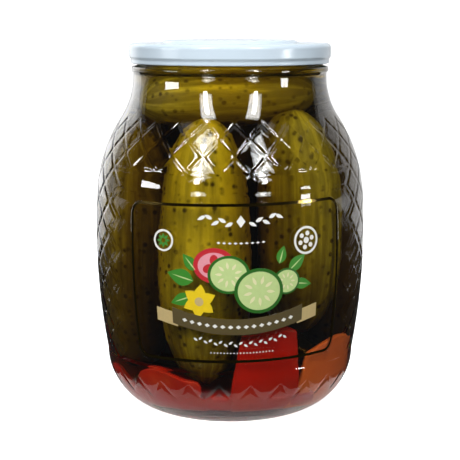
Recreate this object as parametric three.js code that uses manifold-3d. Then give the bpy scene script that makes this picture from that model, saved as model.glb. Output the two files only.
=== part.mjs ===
// A glass jar of pickled cucumbers with red pepper strips, shut by a white twist-off lid.
// Millimetres, +Z up. The origin is the centre of the ring the jar stands on, and -Y is the label's side.
import * as THREE from "three";
import { mergeVertices } from "three/addons/utils/BufferGeometryUtils.js";
import Module from "manifold-3d";

const wasm = await Module();
wasm.setup();

const degrees = THREE.MathUtils.degToRad;
const { sin, cos, asin, sqrt, abs, min, max, sign, hypot, PI } = Math;

// Glass: the driving dimensions of the outline
const WALL = 3.2;
const FOOT_RADIUS = 34; // outer edge of the standing ring
const FOOT_WIDTH = 4;
const PUNT_HEIGHT = 3; // rise of the underside at the centre
const LEDGE_HEIGHT = 23.6; // where the rounded heel meets the body
const BELLY_RADIUS = 55.3;
const BELLY_HEIGHT = 72;
const BELLY_ARC = 276; // radius of the barrel curve
const SHOULDER_HEIGHT = 88;
const SHOULDER_ARC = 64;
const SHOULDER_SLOPE = degrees(33.5); // steepest slope, where shoulder turns into neck
const NECK_ARC = 30;
const BEAD_HEIGHT = 138.6;
const BEAD_REACH = 0.9;
const FINISH_RADIUS = 37.4;
const RIM_HEIGHT = 147.4;
const RIM_WIDTH = 2.8;
const FLOOR_HEIGHT = 6;
const INNER_HEEL_ARC = 20;

// Diamond lattice pressed into the glass, and the label panels front and back
const COLUMNS = 26;
const BODY_ROWS = 10; // half diamonds up the body
const SHOULDER_ROWS = 5; // half diamonds up the shoulder
const RELIEF = 0.6; // depth of the lattice lines and of the panels
const LATTICE_TURN = degrees(2.1); // how far the jar is turned from the front
const PANEL_HALF_ANGLE = degrees(58);
const PANEL_TOP_ROW = 11;

// Lid: lacquered steel
const LID_RADIUS = 41;
const LID_TOP = 149;
const LID_LIP_RADIUS = 39.4;
const LID_LIP_HEIGHT = 140.9;
const LID_SHEET = 0.8;
const LID_CORNER = 2.8;
const LID_PANEL_RADIUS = 27;
const LID_PANEL_RISE = 1.2;
const LID_SEGMENTS = 48;

// Label: clear printed film
const LABEL_WIDTH = 90;
const LABEL_LOW = 27.8;
const LABEL_HIGH = 91.2;
const LABEL_CORNER = 6;
const LABEL_FILM = 0.3;
const LABEL_TURN = degrees(3.2);

// Clearances
const GAP = 0.3;
const WALL_GAP = 0.7; // contents to glass
const PEPPER_GAP = 0.5; // pepper to cucumber

// Cucumbers: angle round the jar from the front, foot and tip heights, girth radius and how far they lean out
const CUCUMBERS = [
  { angle: -16, low: 17, high: 119, girth: 16.6, reach: 33.6 },
  { angle: 46, low: 36, high: 122, girth: 16.4, reach: 33.4 },
  { angle: 106, low: 24, high: 115, girth: 16.2, reach: 33.8 },
  { angle: 165, low: 19, high: 118, girth: 16.6, reach: 33.6 },
  { angle: 224, low: 29, high: 113, girth: 16.0, reach: 34.0 },
  { angle: 283, low: 18, high: 113, girth: 15.8, reach: 34.2 },
];
// Cucumbers lying across the neck, by their two ends
const TOP_CUCUMBERS = [
  { from: [-33, -5, 124], to: [30, 7, 129], girth: 12.4 },
  { from: [-16, 25, 124], to: [29, 17, 127], girth: 11.6 },
];
const CORE_RADIUS = 20.5;
const CORE_LOW = 20;
const CORE_HIGH = 116;
const CUCUMBER_SEGMENTS = 12;
const CUCUMBER_ROWS = 9;

// Pepper strips standing round the foot of the jar: middle angle, arc width, foot and top heights
const PEPPERS = [
  { angle: 18, width: 27, low: 8, high: 41 },
  { angle: 62, width: 28, low: 8, high: 33 },
  { angle: 112, width: 26, low: 8, high: 22 },
  { angle: 158, width: 24, low: 8, high: 19 },
  { angle: 196, width: 24, low: 8, high: 37 },
  { angle: 240, width: 26, low: 8, high: 27 },
  { angle: 286, width: 24, low: 8, high: 18 },
  { angle: 328, width: 28, low: 8, high: 22 },
];
const PEPPER_THICK = 5;
const BED_TOP = 13.5;

// Arcs of the outline: each is concentric with the inner wall's arc beside it
const belly = { r: BELLY_RADIUS - BELLY_ARC, z: BELLY_HEIGHT, arc: BELLY_ARC };
const bellyStart = asin((LEDGE_HEIGHT + 0.8 - BELLY_HEIGHT) / BELLY_ARC);
const bellyEnd = asin((SHOULDER_HEIGHT - BELLY_HEIGHT) / BELLY_ARC);
const shoulder = inward(on(belly, bellyEnd), SHOULDER_ARC, bellyEnd);
const neck = inward(on(shoulder, SHOULDER_SLOPE), -NECK_ARC, SHOULDER_SLOPE);
const NECK_RADIUS = neck.r - NECK_ARC;
const ledgeRadius = bellyRadius(LEDGE_HEIGHT);
const heelArc = heelRadius(ledgeRadius, FOOT_RADIUS, LEDGE_HEIGHT);
const heel = { r: ledgeRadius - heelArc, z: LEDGE_HEIGHT, arc: heelArc };

// Point of an arc at an angle above the horizontal
function on(arc, angle, offset = 0) {
  const reach = arc.arc - offset;
  return new THREE.Vector2(arc.r + reach * cos(angle), arc.z + reach * sin(angle));
}

// Arc that leaves a point along the direction the last one ended in; a negative radius turns outward
function inward(point, radius, angle) {
  return { r: point.x - radius * cos(angle), z: point.y - radius * sin(angle), arc: radius };
}

// Radius of the quarter round that meets the ledge upright and the foot at the floor
function heelRadius(top, foot, height) {
  const run = top - foot;
  return (run * run + height * height) / (2 * run);
}

function sweep(arc, from, to, steps, offset = 0) {
  const points = [];
  for (let k = 0; k <= steps; k++) {
    points.push(on(arc, from + ((to - from) * k) / steps, offset));
  }
  return points;
}

function bellyRadius(z) {
  return belly.r + sqrt(BELLY_ARC ** 2 - (z - BELLY_HEIGHT) ** 2);
}

// Inner wall, from the neck down to the middle of the floor
function innerProfile(offset) {
  const wall = WALL + offset;
  const heelStart = on(belly, bellyStart, wall);
  const round = INNER_HEEL_ARC - offset;
  const inside = { r: heelStart.x - round, z: FLOOR_HEIGHT + offset + round, arc: round };
  const throat = FINISH_RADIUS - RIM_WIDTH - offset;
  return [
    new THREE.Vector2(throat, RIM_HEIGHT - 0.8),
    new THREE.Vector2(throat, BEAD_HEIGHT + 1.4),
    ...sweep(neck, 0, SHOULDER_SLOPE, 3, wall),
    ...sweep(shoulder, SHOULDER_SLOPE, bellyEnd, 4, wall).slice(1),
    ...sweep(belly, bellyEnd, bellyStart, 3, wall).slice(1),
    ...sweep(inside, 0, -PI / 2, 4).slice(1),
    new THREE.Vector2(0, FLOOR_HEIGHT + offset + PUNT_HEIGHT / 2),
  ];
}

// Inner radius of the glass at a height in the lower half of the jar
function innerRadius(z) {
  const heelStart = on(belly, bellyStart, WALL);
  const inside = { r: heelStart.x - INNER_HEEL_ARC, z: FLOOR_HEIGHT + INNER_HEEL_ARC };
  if (z > inside.z) return bellyRadius(z) - WALL;
  return inside.r + sqrt(max(0, INNER_HEEL_ARC ** 2 - (z - inside.z) ** 2));
}

// A profile turned about the upright axis
function turned(points, segments, start = 0) {
  return new THREE.LatheGeometry(points, segments, start, 2 * PI).rotateX(PI / 2);
}

// A closed geometry as a solid that can be joined and cut
function solid(geometry) {
  const bare = new THREE.BufferGeometry();
  bare.setAttribute("position", geometry.getAttribute("position").clone());
  if (geometry.index) bare.setIndex(geometry.index.clone());
  const merged = mergeVertices(bare, 1e-3);
  const corners = [];
  for (let t = 0; t < merged.index.count; t += 3) {
    const [a, b, c] = [0, 1, 2].map((k) => merged.index.getX(t + k));
    if (a !== b && b !== c && c !== a) corners.push(a, b, c);
  }
  const vertProperties = merged.attributes.position.array;
  return new wasm.Manifold(new wasm.Mesh({ numProp: 3, vertProperties, triVerts: new Uint32Array(corners) }));
}

// A solid's largest body as a geometry; loose scraps left by a cut are dropped
function geometryOf(made) {
  const bodies = made.decompose();
  const whole = bodies.reduce((best, body) => (body.volume() > best.volume() ? body : best));
  const mesh = whole.getMesh();
  const geometry = new THREE.BufferGeometry();
  geometry.setAttribute("position", new THREE.BufferAttribute(mesh.vertProperties, 3));
  geometry.setIndex(new THREE.BufferAttribute(mesh.triVerts, 1));
  geometry.computeVertexNormals();
  return geometry;
}

function piece(name, geometry, colour, roughness, metalness = 0, opacity = 1) {
  const material = new THREE.MeshStandardMaterial({
    color: colour,
    roughness,
    metalness,
    opacity,
    transparent: opacity < 1,
  });
  const mesh = new THREE.Mesh(geometry, material);
  mesh.name = name;
  return mesh;
}

// How far a lattice point is pressed in. Odd sums are crossings of the lines, even sums the middles of diamonds.
function pressed(column, row) {
  const angle = (column * PI) / COLUMNS;
  const fromPanel = min(abs(sin(angle)), 1);
  const inPanel = asin(fromPanel) < PANEL_HALF_ANGLE;
  if (inPanel && row <= PANEL_TOP_ROW) return RELIEF;
  return (column + row) % 2 ? RELIEF : 0;
}

// Glass jar: a turned wall whose outside carries the diamonds
function glassJar() {
  const foot = [
    new THREE.Vector2(0, PUNT_HEIGHT),
    new THREE.Vector2(FOOT_RADIUS - 3 * FOOT_WIDTH, PUNT_HEIGHT * 0.8),
    new THREE.Vector2(FOOT_RADIUS - FOOT_WIDTH, 0),
    ...sweep(heel, -asin(LEDGE_HEIGHT / heelArc), 0, 5),
  ];
  const body = sweep(belly, bellyStart, bellyEnd, BODY_ROWS);
  const rise = sweep(shoulder, bellyEnd, SHOULDER_SLOPE, SHOULDER_ROWS).slice(1);
  const bend = [0.75, 0.5, 0.25, 0].map((share) => {
    const angle = SHOULDER_SLOPE * share;
    return new THREE.Vector2(neck.r - NECK_ARC * cos(angle), neck.z + neck.arc * sin(angle));
  });
  const finish = [
    new THREE.Vector2(NECK_RADIUS, BEAD_HEIGHT - 1.2),
    new THREE.Vector2(NECK_RADIUS + BEAD_REACH, BEAD_HEIGHT - 0.4),
    new THREE.Vector2(NECK_RADIUS + BEAD_REACH, BEAD_HEIGHT + 0.4),
    new THREE.Vector2(FINISH_RADIUS, BEAD_HEIGHT + 1.4),
    new THREE.Vector2(FINISH_RADIUS, RIM_HEIGHT - 0.8),
    new THREE.Vector2(FINISH_RADIUS - 0.8, RIM_HEIGHT),
    new THREE.Vector2(FINISH_RADIUS - RIM_WIDTH + 0.8, RIM_HEIGHT),
  ];
  const profile = [...foot, ...body, ...rise, ...bend, ...finish, ...innerProfile(0)];
  const segments = 2 * COLUMNS;
  const lathe = turned(profile, segments, LATTICE_TURN);
  const position = lathe.getAttribute("position");
  const firstRow = foot.length;
  const lastRow = firstRow + BODY_ROWS + SHOULDER_ROWS;
  const corners = [];
  for (let i = 0; i < segments; i++) {
    for (let j = 0; j < profile.length - 1; j++) {
      const a = i * profile.length + j;
      const b = a + profile.length;
      // In the lattice the diagonal joins two crossings, so that it follows a line
      const flip = j >= firstRow && j < lastRow && (i + j - firstRow) % 2;
      if (flip) corners.push(a, b, b + 1, b + 1, a + 1, a);
      else corners.push(a, b, a + 1, b + 1, a + 1, b);
    }
  }
  for (let i = 0; i <= segments; i++) {
    for (let j = firstRow; j <= lastRow; j++) {
      const at = i * profile.length + j;
      const depth = pressed(i % segments, j - firstRow) * (j === lastRow ? 0.5 : 1);
      const share = 1 - depth / profile[j].x;
      position.setXY(at, position.getX(at) * share, position.getY(at) * share);
    }
  }
  lathe.setIndex(corners);
  return piece("glass_jar", geometryOf(solid(lathe)), 0xe8eee8, 0.05, 0, 0.35);
}

// Lid: a drawn steel cap with a rounded shoulder, a raised middle and a lip turned in under the bead
function lid() {
  const under = RIM_HEIGHT + GAP + 0.1;
  const inner = LID_RADIUS - LID_SHEET;
  const waist = LID_LIP_HEIGHT + 3;
  const profile = [
    new THREE.Vector2(0, LID_TOP + LID_PANEL_RISE - LID_SHEET),
    new THREE.Vector2(LID_PANEL_RADIUS - 1.4, LID_TOP + LID_PANEL_RISE - LID_SHEET),
    new THREE.Vector2(LID_PANEL_RADIUS - 0.6, under),
    new THREE.Vector2(inner - 1.6, under),
    new THREE.Vector2(inner, under - 1.4),
    new THREE.Vector2(inner, waist + 0.4),
    new THREE.Vector2(LID_LIP_RADIUS - LID_SHEET, waist - 1.2),
    new THREE.Vector2(LID_LIP_RADIUS - LID_SHEET, LID_LIP_HEIGHT + 0.3),
    new THREE.Vector2(LID_LIP_RADIUS - LID_SHEET / 2, LID_LIP_HEIGHT),
    new THREE.Vector2(LID_LIP_RADIUS, LID_LIP_HEIGHT + 0.3),
    new THREE.Vector2(LID_LIP_RADIUS, waist - 1.4),
    new THREE.Vector2(LID_RADIUS - 0.3, waist - 0.4),
    new THREE.Vector2(LID_RADIUS, waist + 0.4),
  ];
  for (let k = 0; k <= 3; k++) {
    const angle = (k * PI) / 6;
    const reach = LID_CORNER * (1 - cos(angle));
    profile.push(new THREE.Vector2(LID_RADIUS - reach, LID_TOP - LID_CORNER * (1 - sin(angle))));
  }
  profile.push(
    new THREE.Vector2(LID_PANEL_RADIUS + 3, LID_TOP),
    new THREE.Vector2(LID_PANEL_RADIUS + 1.6, LID_TOP - 0.4),
    new THREE.Vector2(LID_PANEL_RADIUS, LID_TOP + LID_PANEL_RISE - 0.4),
    new THREE.Vector2(LID_PANEL_RADIUS - 0.8, LID_TOP + LID_PANEL_RISE),
    new THREE.Vector2(0, LID_TOP + LID_PANEL_RISE),
  );
  return piece("lid", geometryOf(solid(turned(profile, LID_SEGMENTS))), 0xe9f0f6, 0.25, 0.1);
}

// Cucumber: a blunt spindle between two ends, lobed across and a little uneven along its length
function cucumber(from, to, girth, grow, phase) {
  const start = new THREE.Vector3(...from);
  const along = new THREE.Vector3(...to).sub(start);
  const length = along.length() + 2 * grow;
  const profile = [];
  for (let k = 0; k <= CUCUMBER_ROWS; k++) {
    const share = -cos((k * PI) / CUCUMBER_ROWS);
    const round = k % CUCUMBER_ROWS ? (1 - abs(share) ** 2.6) ** 0.5 : 0;
    profile.push(new THREE.Vector2((girth + grow) * round, (share * length) / 2));
  }
  const shape = new THREE.LatheGeometry(profile, CUCUMBER_SEGMENTS);
  const position = shape.getAttribute("position");
  const point = new THREE.Vector3();
  for (let v = 0; v < position.count; v++) {
    point.fromBufferAttribute(position, v);
    const turn = Math.atan2(point.x, point.z);
    const share = point.y / length;
    const lobes = 1 - 0.02 + 0.02 * cos(3 * turn + phase) - 0.025 * sin(5 * share + phase);
    const bow = 1.6 * (1 - 4 * share * share) * sin(phase);
    position.setXYZ(v, point.x * lobes + bow, point.y, point.z * lobes);
  }
  const upright = new THREE.Vector3(0, 1, 0);
  shape.applyQuaternion(new THREE.Quaternion().setFromUnitVectors(upright, along.clone().normalize()));
  const middle = start.addScaledVector(along, 0.5);
  return solid(shape.translate(middle.x, middle.y, middle.z));
}

// The whole heap of cucumbers, each swollen by grow, fused round an inner core
function cucumberHeap(grow) {
  const core = [
    new THREE.Vector2(0, CORE_LOW),
    new THREE.Vector2(CORE_RADIUS * 0.7, CORE_LOW + 2),
    new THREE.Vector2(CORE_RADIUS, CORE_LOW + 14),
    new THREE.Vector2(CORE_RADIUS, CORE_HIGH - 12),
    new THREE.Vector2(CORE_RADIUS * 0.7, CORE_HIGH),
    new THREE.Vector2(0, CORE_HIGH),
  ];
  let heap = solid(turned(core, 16));
  CUCUMBERS.forEach(({ angle, low, high, girth, reach }, k) => {
    const side = degrees(angle);
    const foot = reach - 1;
    const tip = reach - 2.2;
    const from = [foot * sin(side), -foot * cos(side), low];
    const to = [tip * sin(side), -tip * cos(side), high];
    heap = heap.add(cucumber(from, to, girth, grow, 1.7 * k));
  });
  TOP_CUCUMBERS.forEach(({ from, to, girth }, k) => {
    heap = heap.add(cucumber(from, to, girth, grow, 0.9 + 2.1 * k));
  });
  return heap;
}

// Pepper strip: a thick curved slab that follows the inside of the wall, with wavy edges
function pepperStrip({ angle, width, low, high }, phase) {
  const height = high - low;
  const slab = new THREE.BoxGeometry(width, PEPPER_THICK, height, 5, 1, 4);
  const position = slab.getAttribute("position");
  for (let v = 0; v < position.count; v++) {
    const [u, w, h] = [position.getX(v), position.getY(v), position.getZ(v)];
    const share = h / height;
    const edge = abs(share) === 0.5 ? sin((6 * u) / width + phase) * 1.4 : 0;
    const z = max(low, (low + high) / 2 + h + sign(share) * edge * (share > 0 ? 1 : 0));
    const swell = 0.8 * cos((5 * u) / width + 2 * phase + 3 * share);
    const outer = innerRadius(z) - WALL_GAP - 0.4 - max(0, swell);
    const radius = outer - (w < 0 ? 0 : PEPPER_THICK * (1 - 0.5 * abs(share)));
    const taper = 1 - 0.14 * share - 0.06 * sin(5 * share + phase);
    const side = degrees(angle) + (u * taper) / innerRadius((low + high) / 2);
    position.setXYZ(v, radius * sin(side), -radius * cos(side), z);
  }
  return solid(slab);
}

// The bed of pepper pieces on the floor of the jar, with the strips that stand up out of it
function pepperHeap() {
  const floor = FLOOR_HEIGHT + WALL_GAP;
  const profile = [new THREE.Vector2(0, floor + PUNT_HEIGHT / 2)];
  for (let k = 0; k <= 2; k++) {
    const z = floor + 1.2 + ((BED_TOP - floor - 1.2) * k) / 2;
    profile.push(new THREE.Vector2(innerRadius(z) - 2 * WALL_GAP, z));
  }
  profile.push(new THREE.Vector2(24, BED_TOP + 1.4), new THREE.Vector2(0, BED_TOP + 1));
  let heap = solid(turned(profile, 18));
  PEPPERS.forEach((strip, k) => {
    heap = heap.add(pepperStrip(strip, 1.3 * k));
  });
  return heap;
}

// Label: a clear film with rounded corners, bent round the front panel
function label() {
  const height = LABEL_HIGH - LABEL_LOW;
  const columns = 14;
  const rows = 10;
  const film = new THREE.BoxGeometry(LABEL_WIDTH, LABEL_FILM, height, columns, 1, rows);
  const position = film.getAttribute("position");
  for (let v = 0; v < position.count; v++) {
    const [u, w, h] = [position.getX(v), position.getY(v), position.getZ(v)];
    const row = Math.round((h / height + 0.5) * rows);
    const rise = height / 2 - LABEL_CORNER;
    const inCorner = [1, 0.55, 0.15][min(row, rows - row)] ?? 0;
    const tall = inCorner ? sign(h) * (rise + LABEL_CORNER * inCorner) : h;
    const trim = LABEL_CORNER * (1 - sqrt(1 - inCorner ** 2));
    const z = (LABEL_LOW + LABEL_HIGH) / 2 + tall;
    const radius = bellyTop(z) - (w < 0 ? 0 : LABEL_FILM);
    const side = LABEL_TURN + (u * (1 - (2 * trim) / LABEL_WIDTH)) / BELLY_RADIUS;
    position.setXYZ(v, radius * sin(side), -radius * cos(side), z);
  }
  return piece("label", geometryOf(solid(film)), 0xf4f1e4, 0.2, 0, 0.4);
}

// Outside of the glass up to the first part of the shoulder
function bellyTop(z) {
  if (z < SHOULDER_HEIGHT) return bellyRadius(z);
  return shoulder.r + sqrt(SHOULDER_ARC ** 2 - (z - shoulder.z) ** 2);
}

const cavity = solid(turned([new THREE.Vector2(0, BEAD_HEIGHT + 1), ...innerProfile(WALL_GAP).slice(1)].reverse(), 52));
const cucumbers = cucumberHeap(0).intersect(cavity);
const peppers = pepperHeap().intersect(cavity).subtract(cucumberHeap(PEPPER_GAP));

const jar = new THREE.Group();
jar.add(
  glassJar(),
  lid(),
  piece("pickles", geometryOf(cucumbers), 0x7d6e14, 0.35),
  piece("peppers", geometryOf(peppers), 0xa8160c, 0.35),
  label(),
);

export default jar;
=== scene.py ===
"""Glass jar of pickled cucumbers with red pepper strips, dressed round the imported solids.

The file is laid out as an add-on and is run as a script. Sizes are written in millimetres and kept
in metres. The front of the jar faces -Y, and angles round it run from the front towards +X.
"""

import math

import bmesh
import bpy
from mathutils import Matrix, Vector, noise


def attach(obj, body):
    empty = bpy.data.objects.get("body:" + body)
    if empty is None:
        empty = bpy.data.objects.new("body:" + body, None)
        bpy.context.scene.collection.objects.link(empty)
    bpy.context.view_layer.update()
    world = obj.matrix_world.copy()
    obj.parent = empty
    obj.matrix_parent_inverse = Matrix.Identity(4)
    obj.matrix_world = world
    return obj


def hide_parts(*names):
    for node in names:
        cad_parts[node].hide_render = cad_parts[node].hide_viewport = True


bl_info = {
    "name": "Pickle Jar",
    "version": (1, 0, 0),
    "blender": (4, 5, 0),
    "location": "View3D > Sidebar > Pickle Jar",
    "description": "Builds a glass jar of pickled cucumbers round its packed solids",
    "category": "Add Mesh",
}

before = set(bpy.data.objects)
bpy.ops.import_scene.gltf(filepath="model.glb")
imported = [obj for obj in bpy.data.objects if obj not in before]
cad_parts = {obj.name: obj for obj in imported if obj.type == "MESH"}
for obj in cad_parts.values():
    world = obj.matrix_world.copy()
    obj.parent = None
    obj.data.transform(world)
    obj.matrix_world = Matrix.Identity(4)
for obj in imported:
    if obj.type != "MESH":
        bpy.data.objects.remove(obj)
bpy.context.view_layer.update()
MM = 0.001
BODY = "root"

# Cucumbers standing round the jar: angle from the front in degrees, heights of foot and tip,
# half thickness and distance from the axis in millimetres, and how dark and how green the skin is;
# the darkness is partly the skin's own tone and partly painted shade, deepest on the cucumbers at the
# sides
STANDING = (
    {"angle": -16, "low": 17, "high": 119, "girth": 16.6, "reach": 33.6, "shade": 0.15, "green": 0.2},
    {"angle": 46, "low": 36, "high": 122, "girth": 16.4, "reach": 33.4, "shade": 0.4, "green": 0.55},
    {"angle": 106, "low": 24, "high": 115, "girth": 16.2, "reach": 33.8, "shade": 0.8, "green": 0.3},
    {"angle": 165, "low": 19, "high": 118, "girth": 16.6, "reach": 33.6, "shade": 0.3, "green": 0.35},
    {"angle": 224, "low": 29, "high": 113, "girth": 16.0, "reach": 34.0, "shade": 0.35, "green": 0.5},
    {"angle": 283, "low": 18, "high": 113, "girth": 15.8, "reach": 34.2, "shade": 0.5, "green": 0.2},
)
# Cucumbers lying across the neck, by their two ends in millimetres
LYING = (
    {"ends": ((-33, -15, 125), (30, -11, 129)), "girth": 15.8, "shade": 0.6, "green": 0.35},
    {"ends": ((-16, 25, 124), (29, 17, 127)), "girth": 11.6, "shade": 0.6, "green": 0.3},
)
# Cucumber in the middle of the others, its skin darkened as painted shade for the gaps between them
MIDDLE = {"ends": ((0, 0, 17), (0, 0, 117)), "girth": 21, "shade": 0.9, "green": 0.3}
# Pepper strips round the foot of the jar: angle of the middle in degrees, width and heights of foot
# and top in millimetres, and how pale the flesh is
STRIPS = (
    {"angle": 18, "width": 27, "low": 8, "high": 41, "pale": 0.0},
    {"angle": 57, "width": 36, "low": 8, "high": 33, "pale": 0.8},
    {"angle": 112, "width": 26, "low": 8, "high": 22, "pale": 0.3},
    {"angle": 158, "width": 24, "low": 8, "high": 19, "pale": 0.1},
    {"angle": 196, "width": 24, "low": 8, "high": 37, "pale": 0.0},
    {"angle": 240, "width": 26, "low": 8, "high": 27, "pale": 0.5},
    {"angle": 286, "width": 24, "low": 8, "high": 18, "pale": 0.2},
    {"angle": 328, "width": 28, "low": 8, "high": 22, "pale": 0.1},
)


def linear(code):
    """Linear red, green and blue of an sRGB hex value."""
    shares = [(code >> shift & 255) / 255 for shift in (16, 8, 0)]
    return [s / 12.92 if s <= 0.04045 else ((s + 0.055) / 1.055) ** 2.4 for s in shares]


def length(name, description, size):
    """A length property whose default is given in millimetres."""
    return bpy.props.FloatProperty(
        name=name, description=description, default=size * MM, precision=4, unit="LENGTH"
    )


def turn(name, description, degrees):
    """An angle property whose default is given in degrees."""
    return bpy.props.FloatProperty(
        name=name,
        description=description,
        default=math.radians(degrees),
        unit="ROTATION",
        subtype="ANGLE",
    )


def tint(name, description, code):
    """A colour property whose default is an sRGB hex value."""
    return bpy.props.FloatVectorProperty(
        name=name, description=description, default=linear(code), size=3, min=0, max=1, subtype="COLOR"
    )


class GlassSettings(bpy.types.PropertyGroup):
    """Outline of the pressed glass, its diamond lattice and its label panels."""

    wall: length("Wall", "Thickness of the glass", 3.2)
    foot_radius: length("Foot radius", "Outer edge of the ring the jar stands on", 34)
    foot_width: length("Foot width", "Width of the ring the jar stands on", 4)
    punt: length("Punt", "Rise of the underside at its centre", 3)
    ledge: length("Ledge height", "Height at which the round heel meets the body", 23.6)
    belly_radius: length("Belly radius", "Largest radius of the body", 55.3)
    belly_height: length("Belly height", "Height of the largest radius", 72)
    belly_arc: length("Belly arc", "Radius of the barrel curve", 276)
    shoulder: length("Shoulder height", "Height at which the shoulder starts", 88)
    shoulder_arc: length("Shoulder arc", "Radius of the shoulder curve", 64)
    slope: turn("Shoulder slope", "Steepest slope of the shoulder", 33.5)
    neck_arc: length("Neck arc", "Radius of the hollow curve under the neck", 30)
    bead: length("Bead height", "Height of the ring round the neck", 138.6)
    bead_reach: length("Bead reach", "How far the ring stands out of the neck", 0.8)
    finish_radius: length("Finish radius", "Radius of the mouth under the lid", 37.4)
    rim: length("Rim height", "Height of the mouth's rim", 147.4)
    rim_width: length("Rim width", "Thickness of the mouth's rim", 2.8)
    floor: length("Floor height", "Height of the inner floor", 6)
    inner_heel: length("Inner heel", "Radius of the inner corner at the floor", 20)
    columns: bpy.props.IntProperty(name="Columns", description="Diamonds round the jar", default=26)
    body_rows: bpy.props.IntProperty(
        name="Body rows", description="Half diamonds up the body", default=10
    )
    shoulder_rows: bpy.props.IntProperty(
        name="Shoulder rows", description="Half diamonds up the shoulder", default=5
    )
    groove_depth: length("Groove depth", "Depth of the lines between diamonds", 0.38)
    groove_width: length("Groove width", "Width of the lines between diamonds", 2.2)
    border_depth: length("Border depth", "Depth of the line over the label panels", 0.6)
    panel_depth: length("Panel depth", "How far the label panels lie back", 0.6)
    lattice_turn: turn("Lattice turn", "How far the jar is turned from the front", 2.1)
    facet: bpy.props.FloatProperty(
        name="Facet", description="How flat each diamond is", default=0.15, min=0, max=1, subtype="FACTOR"
    )
    colour: tint("Glass colour", "Body colour of the glass", 0xFBFDFC)


class LidSettings(bpy.types.PropertyGroup):
    """Sizes and lacquer of the twist-off lid."""

    radius: length("Radius", "Outer radius of the lid", 41)
    top: length("Top height", "Height of the outer ring of the lid", 149)
    lip_radius: length("Lip radius", "Radius of the edge turned in below", 40.3)
    lip: length("Lip height", "Height of the lower edge", 140.9)
    sheet: length("Sheet", "Thickness of the steel with its lacquer", 0.8)
    corner: length("Corner", "Radius of the rounded shoulder", 1.8)
    panel_radius: length("Panel radius", "Radius of the raised middle", 27)
    panel_rise: length("Panel rise", "Height of the raised middle", 1.2)
    colour: tint("Lacquer", "Colour of the lacquer", 0xCEDEEA)


class BrineSettings(bpy.types.PropertyGroup):
    """Level and colour of the liquid."""

    level: length("Level", "Height of the liquid's surface", 142)
    overlap: length("Overlap", "How far the liquid reaches into the wall", 0.2)
    colour: tint("Liquid", "Colour that the liquid lets through", 0xE9E200)
    strength: bpy.props.FloatProperty(
        name="Strength", description="How fast the liquid takes colour out", default=190, min=0
    )


class CucumberSettings(bpy.types.PropertyGroup):
    """Skin, warts and colours of the cucumbers."""

    wart_spacing: length("Wart spacing", "Least distance between warts", 6.4)
    wart_radius: length("Wart radius", "Radius of a wart's foot", 2.0)
    wart_height: length("Wart height", "How far a wart stands out", 0.5)
    ripe: tint("Ripe skin", "Yellow part of the skin", 0xD2B83C)
    olive: tint("Olive skin", "Green part of the skin", 0x94842C)
    # The dark colour is also what the painted shade carried by the cucumbers' tone draws the skin towards
    dark: tint("Dark skin", "Shaded streaks of the skin", 0x5A4812)
    spot: tint("Spots", "Colour of the warts", 0x3A2A0C)


class PepperSettings(bpy.types.PropertyGroup):
    """Thickness and colours of the pepper strips."""

    thick: length("Thickness", "Thickness of a strip", 5)
    skin: tint("Skin", "Colour of the skin", 0xAC1408)
    flesh: tint("Flesh", "Colour of the flesh where the skin has gone pale", 0xD0603C)


class LabelSettings(bpy.types.PropertyGroup):
    """Size, place and inks of the printed film."""

    width: length("Width", "Width of the film round the jar", 90)
    low: length("Lower edge", "Height of the film's lower edge", 27.8)
    high: length("Upper edge", "Height of the film's upper edge", 91.2)
    corner: length("Corner", "Radius of the film's corners", 6)
    film: length("Film", "Thickness of the film", 0.3)
    line: length("Frame line", "Width of the foil line round the print", 1.15)
    angle: turn("Turn", "How far the label's middle lies from the front", 3.2)
    tilt: turn("Tilt", "How far the label is turned in its plane", 0.7)


class StageSettings(bpy.types.PropertyGroup):
    """Camera, lamps and floor."""

    distance: length("Camera distance", "Distance of the camera in front of the jar's axis", 525)
    height: length("Camera height", "Height of the camera", 159.1)
    aim: length("Aim height", "Height on the axis that the camera looks at", 71.9)
    lens: bpy.props.FloatProperty(name="Lens", description="Focal length in millimetres", default=100.13)
    floor: tint("Floor", "Colour of the floor", 0xF6F6F6)


class JarSettings(bpy.types.PropertyGroup):
    """All settings of the jar."""

    glass: bpy.props.PointerProperty(name="Glass", description="Glass settings", type=GlassSettings)
    lid: bpy.props.PointerProperty(name="Lid", description="Lid settings", type=LidSettings)
    brine: bpy.props.PointerProperty(name="Brine", description="Brine settings", type=BrineSettings)
    cucumber: bpy.props.PointerProperty(
        name="Cucumbers", description="Cucumber settings", type=CucumberSettings
    )
    pepper: bpy.props.PointerProperty(name="Peppers", description="Pepper settings", type=PepperSettings)
    label: bpy.props.PointerProperty(name="Label", description="Label settings", type=LabelSettings)
    stage: bpy.props.PointerProperty(name="Stage", description="Stage settings", type=StageSettings)


class Arc:
    """An arc of the outline, by its centre and radius; a negative radius is a hollow curve."""

    def __init__(self, r, z, size):
        self.r = r
        self.z = z
        self.size = size

    def at(self, angle, inset=0.0):
        """Radius and height at an angle above the horizontal, inset by a thickness."""
        reach = self.size - inset
        return (self.r + reach * math.cos(angle), self.z + reach * math.sin(angle))

    def following(self, angle, size):
        """The arc that goes on smoothly from this one at that angle."""
        r, z = self.at(angle)
        return Arc(r - size * math.cos(angle), z - size * math.sin(angle), size)

    def sweep(self, start, end, steps, inset=0.0):
        return [self.at(start + (end - start) * k / steps, inset) for k in range(steps + 1)]

    def radius(self, z, inset=0.0):
        reach = self.size - inset
        side = math.copysign(1.0, reach)
        return self.r + side * math.sqrt(max(0.0, reach * reach - (z - self.z) ** 2))


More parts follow.
